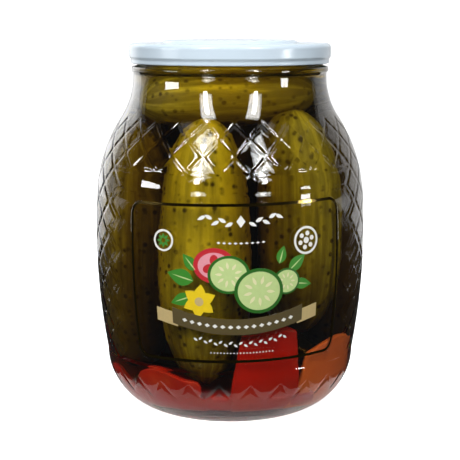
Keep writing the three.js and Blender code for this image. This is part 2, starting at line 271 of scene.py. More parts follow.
class Outline:
    """The jar's outline as arcs, the same ones that the solid has."""

    def __init__(self, glass):
        self.glass = glass
        self.belly = Arc(glass.belly_radius - glass.belly_arc, glass.belly_height, glass.belly_arc)
        self.start = math.asin((glass.ledge + 0.8 * MM - glass.belly_height) / glass.belly_arc)
        self.end = math.asin((glass.shoulder - glass.belly_height) / glass.belly_arc)
        self.shoulder = self.belly.following(self.end, glass.shoulder_arc)
        self.neck = self.shoulder.following(glass.slope, -glass.neck_arc)
        self.neck_radius = self.neck.at(0)[0]
        ledge_radius = self.belly.radius(glass.ledge)
        run = ledge_radius - glass.foot_radius
        size = (run * run + glass.ledge ** 2) / (2 * run)
        self.heel = Arc(ledge_radius - size, glass.ledge, size)
        start_r, _ = self.belly.at(self.start, glass.wall)
        self.inside = Arc(start_r - glass.inner_heel, glass.floor + glass.inner_heel, glass.inner_heel)
        self.turn_height = self.shoulder.at(glass.slope)[1]

    def outer(self, z):
        """Radius of the body or lower shoulder at a height."""
        return self.belly.radius(z) if z < self.glass.shoulder else self.shoulder.radius(z)

    def inner(self, z):
        """Radius of the inside at a height, floor to neck."""
        wall = self.glass.wall
        if z < self.inside.z:
            return self.inside.radius(z)
        if z < self.glass.shoulder:
            return self.belly.radius(z, wall)
        if z < self.turn_height:
            return self.shoulder.radius(z, wall)
        if z < self.neck.z:
            return self.neck.radius(z, wall)
        return self.neck.at(0, wall)[0]

    def inner_profile(self, rows, grow=0.0):
        """Points down the inside from the mouth to the middle of the floor, grown into the wall."""
        glass = self.glass
        wall = glass.wall - grow
        throat = glass.finish_radius - glass.rim_width + grow
        inside = Arc(self.inside.r, self.inside.z, self.inside.size + grow)
        points = [
            (throat, glass.rim - 0.8 * MM),
            (throat, glass.bead + 2.2 * MM),
            (throat + 0.2 * MM, glass.bead + 1.4 * MM),
        ]
        points += self.neck.sweep(0, glass.slope, rows, wall)
        points += self.shoulder.sweep(glass.slope, self.end, rows, wall)[1:]
        points += self.belly.sweep(self.end, self.start, rows, wall)[1:]
        points += inside.sweep(0, -math.pi / 2, rows)[1:]
        for share in (0.66, 0.33, 0):
            dome = glass.punt / 2 * (1 - share * share)
            points.append((inside.r * share, glass.floor - grow + dome))
        return points


def round_point(angle, radius, z):
    return Vector((radius * math.sin(angle), -radius * math.cos(angle), z))


def new_object(name, mesh):
    made = bpy.data.objects.new(name, mesh)
    bpy.context.scene.collection.objects.link(made)
    return made


def mesh_from(name, points, faces, smooth=True):
    mesh = bpy.data.meshes.new(name)
    mesh.from_pydata(points, [], faces)
    mesh.validate()
    mesh.update()
    if smooth:
        mesh.polygons.foreach_set("use_smooth", [True] * len(mesh.polygons))
    return mesh


def turned(name, profile, segments, start=0.0):
    """A closed mesh turned about the upright axis, by a profile that runs up the outside.

    The profile may begin or end on the axis.
    """
    points, rings, faces = [], [], []
    for r, z in profile:
        if r < 1e-7:
            rings.append([len(points)] * segments)
            points.append((0, 0, z))
        else:
            rings.append(list(range(len(points), len(points) + segments)))
            points += [round_point(start + math.tau * i / segments, r, z) for i in range(segments)]
    pairs = list(zip(rings, rings[1:]))
    if profile[0][0] > 1e-7:
        pairs.append((rings[-1], rings[0]))
    for low, high in pairs:
        for i in range(segments):
            k = (i + 1) % segments
            corners = [low[i], low[k], high[k], high[i]]
            faces.append(list(dict.fromkeys(corners)))
    return mesh_from(name, points, faces)


def slab(name, columns, rows, place):
    """A closed slab of two grids; place(across, up, side) gives a point for shares from 0 to 1."""
    points, faces = [], []
    for side in (0, 1):
        for j in range(rows + 1):
            points += [place(i / columns, j / rows, side) for i in range(columns + 1)]
    row = columns + 1
    back = row * (rows + 1)
    for j in range(rows):
        for i in range(columns):
            cell = [j * row + i, j * row + i + 1, (j + 1) * row + i + 1, (j + 1) * row + i]
            faces.append([corner + back for corner in cell])
            faces.append([cell[0], cell[3], cell[2], cell[1]])
    for i in range(columns):
        top = rows * row + i
        faces.append([i, i + 1, i + 1 + back, i + back])
        faces.append([top + 1, top, top + back, top + 1 + back])
    for j in range(rows):
        start = j * row
        end = start + columns
        faces.append([start + row, start, start + back, start + row + back])
        faces.append([end, end + row, end + row + back, end + back])
    return mesh_from(name, points, faces)


def settle(made):
    """Turns an object with its modifiers into a plain mesh."""
    graph = bpy.context.evaluated_depsgraph_get()
    mesh = bpy.data.meshes.new_from_object(
        made.evaluated_get(graph), preserve_all_data_layers=True, depsgraph=graph
    )
    old = made.data
    made.modifiers.clear()
    made.data = mesh
    mesh.name = old.name
    bpy.data.meshes.remove(old)


def joined(name, meshes):
    """One mesh made of several, with the attributes that they share."""
    bm = bmesh.new()
    for mesh in meshes:
        bm.from_mesh(mesh)
        bpy.data.meshes.remove(mesh)
    whole = bpy.data.meshes.new(name)
    bm.to_mesh(whole)
    bm.free()
    return whole


def attribute(mesh, name, kind, values):
    """Stores one value for each point of a mesh."""
    layer = mesh.attributes.new(name, kind, "POINT")
    key = "vector" if kind == "FLOAT_VECTOR" else "value"
    flat = [part for value in values for part in value] if kind == "FLOAT_VECTOR" else values
    layer.data.foreach_set(key, flat)


def add(tree, kind, inputs=None, **settings):
    """Adds a node with its settings, and sets or links its inputs.

    A node given as an input stands for its first output.
    """
    made = tree.nodes.new(kind)
    for name, value in settings.items():
        setattr(made, name, value)
    for socket, value in (inputs or {}).items():
        if isinstance(value, bpy.types.Node):
            value = value.outputs[0]
        if isinstance(value, bpy.types.NodeSocket):
            tree.links.new(value, made.inputs[socket])
        else:
            made.inputs[socket].default_value = value
    return made


def new_material(name):
    made = bpy.data.materials.new(name)
    made.use_nodes = True
    made.node_tree.nodes.clear()
    return made, made.node_tree


def new_tree(name, sizes):
    """A geometry node tree with one geometry in and out and named number inputs."""
    tree = bpy.data.node_groups.new(name, "GeometryNodeTree")
    tree.interface.new_socket("Geometry", in_out="INPUT", socket_type="NodeSocketGeometry")
    for size in sizes:
        tree.interface.new_socket(size, in_out="INPUT", socket_type="NodeSocketFloat")
    tree.interface.new_socket("Geometry", in_out="OUTPUT", socket_type="NodeSocketGeometry")
    return tree


def shape_by(made, tree, sizes):
    """Runs a geometry node tree on an object with these input values and keeps the result as its mesh."""
    modifier = made.modifiers.new(tree.name, "NODES")
    modifier.node_group = tree
    for item in tree.interface.items_tree:
        if item.item_type == "SOCKET" and item.in_out == "INPUT" and item.name in sizes:
            modifier[item.identifier] = sizes[item.name]
    settle(made)


def place_piece(made, slot, *nodes):
    """Puts a finished piece on the jar's body, in the place of solids."""
    if not made.data.polygons:
        raise RuntimeError(f"{made.name} came out empty")
    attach(made, BODY)
    if nodes:
        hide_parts(*nodes)


def clear_surface(tree, body, through):
    """Ends a clear material: lamps and soft light pass straight through it."""
    path = add(tree, "ShaderNodeLightPath")
    open_way = add(tree, "ShaderNodeBsdfTransparent", {"Color": through})
    lamps = add(tree, "ShaderNodeMixShader", {0: path.outputs["Is Shadow Ray"], 1: body, 2: open_way})
    soft = add(tree, "ShaderNodeMixShader", {0: path.outputs["Is Diffuse Ray"], 1: lamps, 2: open_way})
    return soft


def glass_material(settings):
    # Soda-lime glass pressed in a mould: clear and fire-polished, with the slow waves of a thick wall
    made, tree = new_material("soda_lime_glass")
    where = add(tree, "ShaderNodeTexCoord")
    waves = add(
        tree,
        "ShaderNodeTexNoise",
        {"Vector": where.outputs["Object"], "Scale": 1 / (14 * MM), "Detail": 1.0, "Roughness": 0.4},
    )
    bump = add(tree, "ShaderNodeBump", {"Height": waves, "Strength": 0.25, "Distance": 0.12 * MM})
    body = add(
        tree,
        "ShaderNodeBsdfPrincipled",
        {
            "Base Color": (*settings.colour, 1),
            "Roughness": 0.0,
            "IOR": 1.52,
            "Transmission Weight": 1.0,
            "Normal": bump,
        },
    )
    add(tree, "ShaderNodeOutputMaterial", {"Surface": clear_surface(tree, body, (0.95, 0.96, 0.95, 1))})
    return made


def lacquer_material(settings):
    # White lacquer stoved on tinplate: glossy and even, with the faint orange peel of a rolled coat
    made, tree = new_material("white_lacquered_tinplate")
    where = add(tree, "ShaderNodeTexCoord")
    peel = add(
        tree,
        "ShaderNodeTexNoise",
        {"Vector": where.outputs["Object"], "Scale": 1 / (0.9 * MM), "Detail": 2.0},
    )
    tone = add(
        tree,
        "ShaderNodeTexNoise",
        {"Vector": where.outputs["Object"], "Scale": 1 / (18 * MM), "Detail": 3.0},
    )
    worn = [0.95 * share for share in settings.colour]
    shade = add(
        tree,
        "ShaderNodeMix",
        {0: tone, 6: (*settings.colour, 1), 7: (*worn, 1)},
        data_type="RGBA",
    )
    bump = add(tree, "ShaderNodeBump", {"Height": peel, "Strength": 0.06, "Distance": 0.05 * MM})
    body = add(
        tree,
        "ShaderNodeBsdfPrincipled",
        {
            "Base Color": shade.outputs[2],
            "Roughness": 0.2,
            "IOR": 1.42,
            "Normal": bump,
        },
    )
    add(tree, "ShaderNodeOutputMaterial", {"Surface": body})
    return made


def brine_material(settings):
    # Cucumber brine: clear water, salt and vinegar that takes out blue and some green with depth
    made, tree = new_material("cucumber_brine")
    body = add(
        tree,
        "ShaderNodeBsdfPrincipled",
        {"Base Color": (1, 1, 1, 1), "Roughness": 0.0, "IOR": 1.34, "Transmission Weight": 1.0},
    )
    depth = add(
        tree,
        "ShaderNodeVolumeAbsorption",
        {"Color": (*settings.colour, 1), "Density": settings.strength},
    )
    add(
        tree,
        "ShaderNodeOutputMaterial",
        {"Surface": clear_surface(tree, body, (1, 1, 1, 1)), "Volume": depth},
    )
    return made


def cucumber_material(settings):
    # Pickled cucumber skin: olive to yellow in long streaks, with dark warts and specks and a dull gloss,
    # and darker where the tone attribute brings in painted shade
    made, tree = new_material("pickled_cucumber_skin")
    skin = add(tree, "ShaderNodeAttribute", attribute_name="skin")
    tone = add(tree, "ShaderNodeAttribute", attribute_name="tone")
    wart = add(tree, "ShaderNodeAttribute", attribute_name="wart")
    where = add(tree, "ShaderNodeTexCoord")
    split = add(tree, "ShaderNodeSeparateXYZ", {0: tone.outputs["Vector"]})
    streaks = add(
        tree,
        "ShaderNodeTexNoise",
        {"Vector": skin.outputs["Vector"], "Scale": 3.2, "Detail": 4.0, "Roughness": 0.6},
    )
    patches = add(
        tree,
        "ShaderNodeTexNoise",
        {"Vector": where.outputs["Object"], "Scale": 1 / (9 * MM), "Detail": 3.0, "Roughness": 0.55},
    )
    grain = add(
        tree,
        "ShaderNodeTexNoise",
        {"Vector": where.outputs["Object"], "Scale": 1 / (1.6 * MM), "Detail": 2.0},
    )
    mottle = add(tree, "ShaderNodeMath", {0: streaks, 1: patches}, operation="ADD")
    green = add(tree, "ShaderNodeMath", {0: mottle, 1: split.outputs["Y"]}, operation="ADD")
    green_share = add(
        tree,
        "ShaderNodeMapRange",
        {"Value": green, "From Min": 1.0, "From Max": 1.75},
        interpolation_type="SMOOTHSTEP",
    )
    skin_colour = add(
        tree,
        "ShaderNodeMix",
        {0: green_share, 6: (*settings.ripe, 1), 7: (*settings.olive, 1)},
        data_type="RGBA",
    )
    # Painted shade: the tone's first part, each cucumber's own darkness with its painted shade, draws the
    # skin towards the dark colour
    shade = add(tree, "ShaderNodeMath", {0: streaks, 1: split.outputs["X"]}, operation="ADD")
    shade_share = add(
        tree,
        "ShaderNodeMapRange",
        {"Value": shade, "From Min": 0.5, "From Max": 1.25},
        interpolation_type="SMOOTHSTEP",
    )
    streaked = add(
        tree,
        "ShaderNodeMix",
        {0: shade_share, 6: skin_colour.outputs[2], 7: (*settings.dark, 1)},
        data_type="RGBA",
    )
    fleck = add(
        tree,
        "ShaderNodeMapRange",
        {"Value": grain, "From Min": 0.62, "From Max": 0.78, "To Max": 0.35},
    )
    flecked = add(
        tree,
        "ShaderNodeMix",
        {0: fleck, 6: streaked.outputs[2], 7: (*settings.dark, 1)},
        data_type="RGBA",
    )
    spot_share = add(
        tree,
        "ShaderNodeMapRange",
        {"Value": wart.outputs["Fac"], "From Min": 0.3, "From Max": 0.9, "To Max": 0.6},
        interpolation_type="SMOOTHSTEP",
    )
    spotted = add(
        tree,
        "ShaderNodeMix",
        {0: spot_share, 6: flecked.outputs[2], 7: (*settings.spot, 1)},
        data_type="RGBA",
    )
    specks = add(
        tree,
        "ShaderNodeTexVoronoi",
        {"Vector": where.outputs["Object"], "Scale": 1 / (4.0 * MM), "Randomness": 1.0},
    )
    speck = add(
        tree,
        "ShaderNodeMapRange",
        {
            "Value": specks.outputs["Distance"],
            "From Min": 0.12,
            "From Max": 0.34,
            "To Min": 0.95,
            "To Max": 0.0,
        },
        interpolation_type="SMOOTHSTEP",
    )
    cluster = add(
        tree,
        "ShaderNodeMapRange",
        {"Value": patches, "From Min": 0.36, "From Max": 0.54, "To Min": 0.3},
    )
    speck_share = add(tree, "ShaderNodeMath", {0: speck, 1: cluster}, operation="MULTIPLY")
    speckled = add(
        tree,
        "ShaderNodeMix",
        {0: speck_share, 6: spotted.outputs[2], 7: (*settings.spot, 1)},
        data_type="RGBA",
    )
    bump = add(tree, "ShaderNodeBump", {"Height": patches, "Strength": 0.35, "Distance": 0.6 * MM})
    body = add(
        tree,
        "ShaderNodeBsdfPrincipled",
        {
            "Base Color": speckled.outputs[2],
            "Roughness": 0.42,
            "IOR": 1.2,
            "Normal": bump,
        },
    )
    add(tree, "ShaderNodeOutputMaterial", {"Surface": body})
    return made


def pepper_material(settings):
    # Pickled red pepper: deep red skin that turns orange and pale where the flesh shows
    made, tree = new_material("pickled_red_pepper")
    where = add(tree, "ShaderNodeTexCoord")
    pale = add(tree, "ShaderNodeAttribute", attribute_name="pale")
    patches = add(
        tree,
        "ShaderNodeTexNoise",
        {"Vector": where.outputs["Object"], "Scale": 1 / (12 * MM), "Detail": 3.0},
    )
    fine = add(
        tree,
        "ShaderNodeTexNoise",
        {"Vector": where.outputs["Object"], "Scale": 1 / (2.2 * MM), "Detail": 2.0},
    )
    sum_up = add(tree, "ShaderNodeMath", {0: patches, 1: pale.outputs["Fac"]}, operation="ADD")
    share = add(
        tree,
        "ShaderNodeMapRange",
        {"Value": sum_up, "From Min": 0.5, "From Max": 1.3},
        interpolation_type="SMOOTHSTEP",
    )
    colour = add(
        tree,
        "ShaderNodeMix",
        {0: share, 6: (*settings.skin, 1), 7: (*settings.flesh, 1)},
        data_type="RGBA",
    )
    bump = add(tree, "ShaderNodeBump", {"Height": fine, "Strength": 0.2, "Distance": 0.3 * MM})
    body = add(
        tree,
        "ShaderNodeBsdfPrincipled",
        {
            "Base Color": colour.outputs[2],
            "Roughness": 0.35,
            "IOR": 1.2,
            "Normal": bump,
        },
    )
    add(tree, "ShaderNodeOutputMaterial", {"Surface": body})
    return made


def film_material():
    # Clear polypropylene label film: thin and glossy, seen mostly by its highlights
    made, tree = new_material("clear_label_film")
    where = add(tree, "ShaderNodeTexCoord")
    haze = add(
        tree,
        "ShaderNodeTexNoise",
        {"Vector": where.outputs["Object"], "Scale": 1 / (6 * MM), "Detail": 2.0},
    )
    bump = add(tree, "ShaderNodeBump", {"Height": haze, "Strength": 0.04, "Distance": 0.05 * MM})
    body = add(
        tree,
        "ShaderNodeBsdfPrincipled",
        {
            "Base Color": (1, 1, 1, 1),
            "Roughness": 0.02,
            "IOR": 1.2,
            "Transmission Weight": 1.0,
            "Normal": bump,
        },
    )
    add(tree, "ShaderNodeOutputMaterial", {"Surface": clear_surface(tree, body, (1, 1, 1, 1))})
    return made


def ink_material(name, code):
    # Screen-printed ink on film: opaque and satin, slightly uneven where the mesh laid it down
    made, tree = new_material(name)
    colour = linear(code)
    where = add(tree, "ShaderNodeTexCoord")
    lay = add(
        tree,
        "ShaderNodeTexNoise",
        {"Vector": where.outputs["Object"], "Scale": 1 / (1.4 * MM), "Detail": 3.0},
    )
    thin = [0.86 * share for share in colour]
    shade = add(tree, "ShaderNodeMix", {0: lay, 6: (*colour, 1), 7: (*thin, 1)}, data_type="RGBA")
    body = add(tree, "ShaderNodeBsdfPrincipled", {"Base Color": shade.outputs[2], "Roughness": 0.35})
    add(tree, "ShaderNodeOutputMaterial", {"Surface": body})
    return made


def foil_material():
    # Gold foil stamped in a thin line: mirrors the dark room and flashes cream where it meets a lamp
    made, tree = new_material("gold_foil")
    where = add(tree, "ShaderNodeTexCoord")
    creases = add(
        tree,
        "ShaderNodeTexNoise",
        {"Vector": where.outputs["Object"], "Scale": 1 / (5 * MM), "Detail": 2.0},
    )
    bump = add(tree, "ShaderNodeBump", {"Height": creases, "Strength": 0.15, "Distance": 0.1 * MM})
    body = add(
        tree,
        "ShaderNodeBsdfPrincipled",
        {
            "Base Color": (*linear(0x8A7440), 1),
            "Metallic": 1.0,
            "Roughness": 0.12,
            "Normal": bump,
        },
    )
    add(tree, "ShaderNodeOutputMaterial", {"Surface": body})
    return made


def floor_material(name, settings, glow):
    # Matt white studio paper, lit from behind: it looks white all over, and gives the glass only its glow
    made, tree = new_material(name)
    where = add(tree, "ShaderNodeTexCoord")
    fibre = add(
        tree,
        "ShaderNodeTexNoise",
        {"Vector": where.outputs["Object"], "Scale": 1 / (40 * MM), "Detail": 3.0},
    )
    soft = [0.985 * share for share in settings.floor]
    shade = add(
        tree,
        "ShaderNodeMix",
        {0: fibre, 6: (*settings.floor, 1), 7: (*soft, 1)},
        data_type="RGBA",
    )
    path = add(tree, "ShaderNodeLightPath")
    light = add(
        tree,
        "ShaderNodeMapRange",
        {"Value": path.outputs["Is Camera Ray"], "To Min": glow, "To Max": 0.8},
    )
    body = add(
        tree,
        "ShaderNodeBsdfPrincipled",
        {
            "Base Color": shade.outputs[2],
            "Roughness": 0.9,
            "Specular IOR Level": 0.0,
            "Emission Color": (1, 1, 1, 1),
            "Emission Strength": light,
        },
    )
    add(tree, "ShaderNodeOutputMaterial", {"Surface": body})
    return made


FINE = 8  # mesh cells across half a diamond
OFF = -9  # stands for a place off the lattice or off the zigzag


def glass_rows(outline):
    """Profile of the glass from the middle of the underside, over the rim and down to the inner floor.

    Each row is radius, height, lattice row and place in the heel's zigzag, with OFF where there is none.
    """
    glass = outline.glass
    rows = []
    inner_edge = glass.foot_radius - glass.foot_width
    for share in (0, 0.25, 0.5, 0.7, 0.84, 0.94, 0.985):
        rise = glass.punt * math.cos(share * math.pi / 2) ** 0.8
        rows.append((inner_edge * share, rise, OFF, OFF))
    rows.append((inner_edge, 0, OFF, OFF))
    rows.append((glass.foot_radius - 0.6 * MM, 0, OFF, OFF))
    low = -math.asin(glass.ledge / outline.heel.size)
    zig_low = math.radians(-27.4)
    zig_high = math.radians(-11.2)
    angles = [low + (zig_low - low) * (k / 10) for k in range(10)]
    angles += [zig_low + (zig_high - zig_low) * k / FINE for k in range(FINE + 1)]
    angles += [zig_high * (1 - k / 5) for k in range(1, 6)]
    for angle in angles:
        rows.append((*outline.heel.at(angle), OFF, (angle - zig_low) / (zig_high - zig_low)))
    rows.append((outline.belly.radius(glass.ledge + 0.4 * MM), glass.ledge + 0.4 * MM, OFF, OFF))
    body = outline.belly.sweep(outline.start, outline.end, glass.body_rows * FINE)
    shoulder = outline.shoulder.sweep(outline.end, glass.slope, glass.shoulder_rows * FINE)[1:]
    rows += [(r, z, k / FINE, OFF) for k, (r, z) in enumerate(body + shoulder)]
    rows += [(r, z, OFF, OFF) for r, z in outline.neck.sweep(glass.slope, 0, 16)[1:]]
    neck = outline.neck_radius
    for step in range(9):
        angle = math.pi * step / 8
        reach = glass.bead_reach * math.sin(angle) ** 0.7 if 0 < step < 8 else 0
        rows.append((neck + reach, glass.bead - 1.3 * MM * math.cos(angle), OFF, OFF))
    outer = glass.finish_radius
    throat = outer - glass.rim_width
    finish = (
        (outer + 0.6 * MM, glass.bead + 1.5 * MM),
        (outer, glass.bead + 2.1 * MM),
        (outer, glass.rim - 0.9 * MM),
        (outer - 0.3 * MM, glass.rim - 0.2 * MM),
        (outer - 0.9 * MM, glass.rim),
        (throat + 0.9 * MM, glass.rim),
        (throat + 0.3 * MM, glass.rim - 0.2 * MM),
    )
    rows += [(r, z, OFF, OFF) for r, z in (*finish, *outline.inner_profile(9))]
    return rows


def glass_mesh(outline):
    """The turned glass before its lattice is pressed, with the lattice coordinates on its points."""
    glass = outline.glass
    rows = glass_rows(outline)
    segments = 2 * glass.columns * FINE
    points, rings, columns, levels, heels = [], [], [], [], []
    for r, z, level, heel in rows:
        if r < 1e-7:
            rings.append([len(points)] * segments)
            points.append((0, 0, z))
            columns.append(0)
            levels.append(OFF)
            heels.append(OFF)
            continue
        rings.append(list(range(len(points), len(points) + segments)))
        for i in range(segments):
            points.append(round_point(glass.lattice_turn + math.tau * i / segments, r, z))
        columns += [i / FINE for i in range(segments)]
        levels += [level] * segments
        heels += [heel] * segments
    faces = []
    for j in range(len(rows) - 1):
        level, heel = rows[j][2], rows[j][3]
        for i in range(segments):
            k = (i + 1) % segments
            corners = [rings[j][i], rings[j][k], rings[j + 1][k], rings[j + 1][i]]
            if level >= 0:
                # The cut across a cell runs along the nearer of the two lines that cross there
                rise = (i / FINE + 0.5 / FINE - level - 0.5 / FINE + 1) % 2
                fall = (i / FINE + 0.5 / FINE + level + 0.5 / FINE + 1) % 2
                rising = min(rise, 2 - rise) < min(fall, 2 - fall)
            elif heel > -1:
                rising = int(i / FINE) % 2 == 0
            else:
                faces.append(list(dict.fromkeys(corners)))
                continue
            first, second, third, fourth = corners
            if rising:
                faces += [[first, second, third], [first, third, fourth]]
            else:
                faces += [[first, second, fourth], [second, third, fourth]]
    mesh = mesh_from("glass_jar_wall", points, faces)
    attribute(mesh, "column", "FLOAT", columns)
    attribute(mesh, "row", "FLOAT", levels)
    attribute(mesh, "heel", "FLOAT", heels)
    return mesh


def lattice_tree(material):
    """Presses the diamonds, the border, the label panels and the heel's zigzag into a turned wall."""
    tree = new_tree(
        "Pressed lattice",
        ("Groove depth", "Groove width", "Panel depth", "Diamond width", "Facet depth")
        + ("Half round", "Panel half width", "Border row", "Border depth"),
    )
    math_node, ramp = "ShaderNodeMath", "ShaderNodeMapRange"
    soft = {"interpolation_type": "SMOOTHSTEP"}
    given = add(tree, "NodeGroupInput").outputs
    column = add(tree, "GeometryNodeInputNamedAttribute", {"Name": "column"}, data_type="FLOAT")
    row = add(tree, "GeometryNodeInputNamedAttribute", {"Name": "row"}, data_type="FLOAT")
    heel = add(tree, "GeometryNodeInputNamedAttribute", {"Name": "heel"}, data_type="FLOAT")
    half_width = add(tree, math_node, {0: given["Groove width"], 1: 0.5}, operation="MULTIPLY")
    # Lines of the lattice lie where one of two counts, falling and rising, is a whole number
    added = add(tree, math_node, {0: column, 1: row}, operation="ADD")
    falling = add(tree, math_node, {0: added, 1: 0.5, 2: 0.5}, operation="MULTIPLY_ADD")
    taken = add(tree, math_node, {0: column, 1: row}, operation="SUBTRACT")
    rising = add(tree, math_node, {0: taken, 1: 0.5, 2: 0.5}, operation="MULTIPLY_ADD")
    off_falling = add(tree, math_node, {0: falling, 1: 0.5}, operation="PINGPONG")
    off_rising = add(tree, math_node, {0: rising, 1: 0.5}, operation="PINGPONG")
    nearest = add(tree, math_node, {0: off_falling, 1: off_rising}, operation="MINIMUM")
    pitch = add(tree, math_node, {0: given["Diamond width"], 1: 0.69}, operation="MULTIPLY")
    away = add(tree, math_node, {0: nearest, 1: pitch}, operation="MULTIPLY")
    line = add(tree, ramp, {"Value": away, "From Max": half_width, "To Min": 1.0, "To Max": 0.0}, **soft)
    groove = add(tree, math_node, {0: line, 1: given["Groove depth"]}, operation="MULTIPLY")
    # Each diamond is a little flatter than the round it lies on
    whole_falling = add(tree, math_node, {0: falling}, operation="FLOOR")
    whole_rising = add(tree, math_node, {0: rising}, operation="FLOOR")
    middle = add(tree, math_node, {0: whole_falling, 1: whole_rising}, operation="ADD")
    aside = add(tree, math_node, {0: column, 1: middle}, operation="SUBTRACT")
    squared = add(tree, math_node, {0: aside, 1: aside}, operation="MULTIPLY")
    flat = add(tree, math_node, {0: 1.0, 1: squared}, operation="SUBTRACT", use_clamp=True)
    cut = add(tree, math_node, {0: flat, 1: given["Facet depth"], 2: groove}, operation="MULTIPLY_ADD")
    # The panel's side runs in a zigzag along the lines, and the lattice goes on over it on the shoulder
    from_panel = add(tree, math_node, {0: column, 1: given["Half round"]}, operation="PINGPONG")
    next_row = add(tree, math_node, {0: row, 1: 1.0}, operation="ADD")
    zigzag = add(tree, math_node, {0: next_row, 1: 1.0}, operation="PINGPONG")
    edge = add(tree, math_node, {0: zigzag, 1: given["Panel half width"]}, operation="ADD")
    past = add(tree, math_node, {0: from_panel, 1: edge}, operation="SUBTRACT")
    beside = add(tree, ramp, {"Value": past, "From Min": -0.3, "From Max": -0.1}, **soft)
    from_border = add(tree, math_node, {0: row, 1: given["Border row"]}, operation="SUBTRACT")
    over = add(tree, ramp, {"Value": from_border, "From Min": -0.3, "From Max": -0.1}, **soft)
    on_lattice = add(tree, math_node, {0: beside, 1: over}, operation="MAXIMUM")
    pressed = add(tree, math_node, {0: on_lattice, 1: cut}, operation="MULTIPLY")
    # Border line over the panel, and the panel itself
    inside = add(
        tree,
        ramp,
        {"Value": past, "From Min": -0.35, "From Max": 0.0, "To Min": 1.0, "To Max": 0.0},
        **soft,
    )
    off_border = add(tree, math_node, {0: from_border}, operation="ABSOLUTE")
    border = add(tree, ramp, {"Value": off_border, "From Max": 0.2, "To Min": 1.0, "To Max": 0.0}, **soft)
    border_cut = add(tree, math_node, {0: border, 1: given["Border depth"]}, operation="MULTIPLY")
    low_edge = add(tree, ramp, {"Value": row, "From Min": -0.05, "From Max": 0.14}, **soft)
    high_edge = add(
        tree,
        ramp,
        {"Value": from_border, "From Min": -1.15, "From Max": -0.98, "To Min": 1.0, "To Max": 0.0},
        **soft,
    )
    field = add(tree, math_node, {0: low_edge, 1: high_edge}, operation="MULTIPLY")
    field_cut = add(tree, math_node, {0: field, 1: given["Panel depth"]}, operation="MULTIPLY")
    panel = add(tree, math_node, {0: border_cut, 1: field_cut}, operation="MAXIMUM")
    panel_cut = add(tree, math_node, {0: panel, 1: inside}, operation="MULTIPLY")
    on_rows = add(tree, math_node, {0: row, 1: -1.0}, operation="GREATER_THAN")
    deepest = add(tree, math_node, {0: pressed, 1: panel_cut}, operation="MAXIMUM")
    body_cut = add(tree, math_node, {0: deepest, 1: on_rows}, operation="MULTIPLY")
    # Zigzag line round the heel
    wave = add(tree, math_node, {0: column, 1: 1.0}, operation="PINGPONG")
    off_wave = add(tree, math_node, {0: heel, 1: wave}, operation="SUBTRACT")
    wave_gap = add(tree, math_node, {0: off_wave}, operation="ABSOLUTE")
    heel_pitch = add(tree, math_node, {0: given["Diamond width"], 1: 0.34}, operation="MULTIPLY")
    wave_away = add(tree, math_node, {0: wave_gap, 1: heel_pitch}, operation="MULTIPLY")
    wave_line = add(
        tree, ramp, {"Value": wave_away, "From Max": half_width, "To Min": 1.0, "To Max": 0.0}, **soft
    )
    on_heel = add(tree, math_node, {0: heel, 1: -1.0}, operation="GREATER_THAN")
    heel_line = add(tree, math_node, {0: wave_line, 1: on_heel}, operation="MULTIPLY")
    total = add(
        tree, math_node, {0: heel_line, 1: given["Groove depth"], 2: body_cut}, operation="MULTIPLY_ADD"
    )
    place = add(tree, "GeometryNodeInputPosition")
    level = add(tree, "ShaderNodeVectorMath", {0: place, 1: (1, 1, 0)}, operation="MULTIPLY")
    outward = add(tree, "ShaderNodeVectorMath", {0: level}, operation="NORMALIZE")
    inward = add(tree, math_node, {0: total, 1: -1.0}, operation="MULTIPLY")
    step = add(tree, "ShaderNodeVectorMath", {0: outward, "Scale": inward}, operation="SCALE")
    moved = add(tree, "GeometryNodeSetPosition", {"Geometry": given["Geometry"], "Offset": step})
    whole = add(tree, "GeometryNodeRealizeInstances", {0: moved})
    painted = add(tree, "GeometryNodeSetMaterial", {"Geometry": whole, "Material": material})
    add(tree, "NodeGroupOutput", {0: painted})
    return tree


class PICKLEJAR_OT_glass(bpy.types.Operator):
    """Build the pressed glass jar with its diamond lattice"""

    bl_idname = "pickle_jar.glass"
    bl_label = "Glass Jar"
    settings = "glass"

    def execute(self, context):
        glass = context.scene.pickle_jar.glass
        outline = Outline(glass)
        made = new_object("glass_jar_wall", glass_mesh(outline))
        material = glass_material(glass)
        tree = lattice_tree(material)
        diamond = math.tau * glass.belly_radius / glass.columns
        half = math.pi / glass.columns
        shape_by(
            made,
            tree,
            {
                "Groove depth": glass.groove_depth,
                "Groove width": glass.groove_width,
                "Panel depth": glass.panel_depth,
                "Diamond width": diamond,
                "Facet depth": glass.facet * glass.belly_radius * half * half / 2,
                "Half round": glass.columns / 2,
                "Panel half width": 8.0,
                "Border row": glass.body_rows + 2.0,
                "Border depth": glass.border_depth,
            },
        )
        place_piece(made, "glass", "glass_jar")
        return {"FINISHED"}


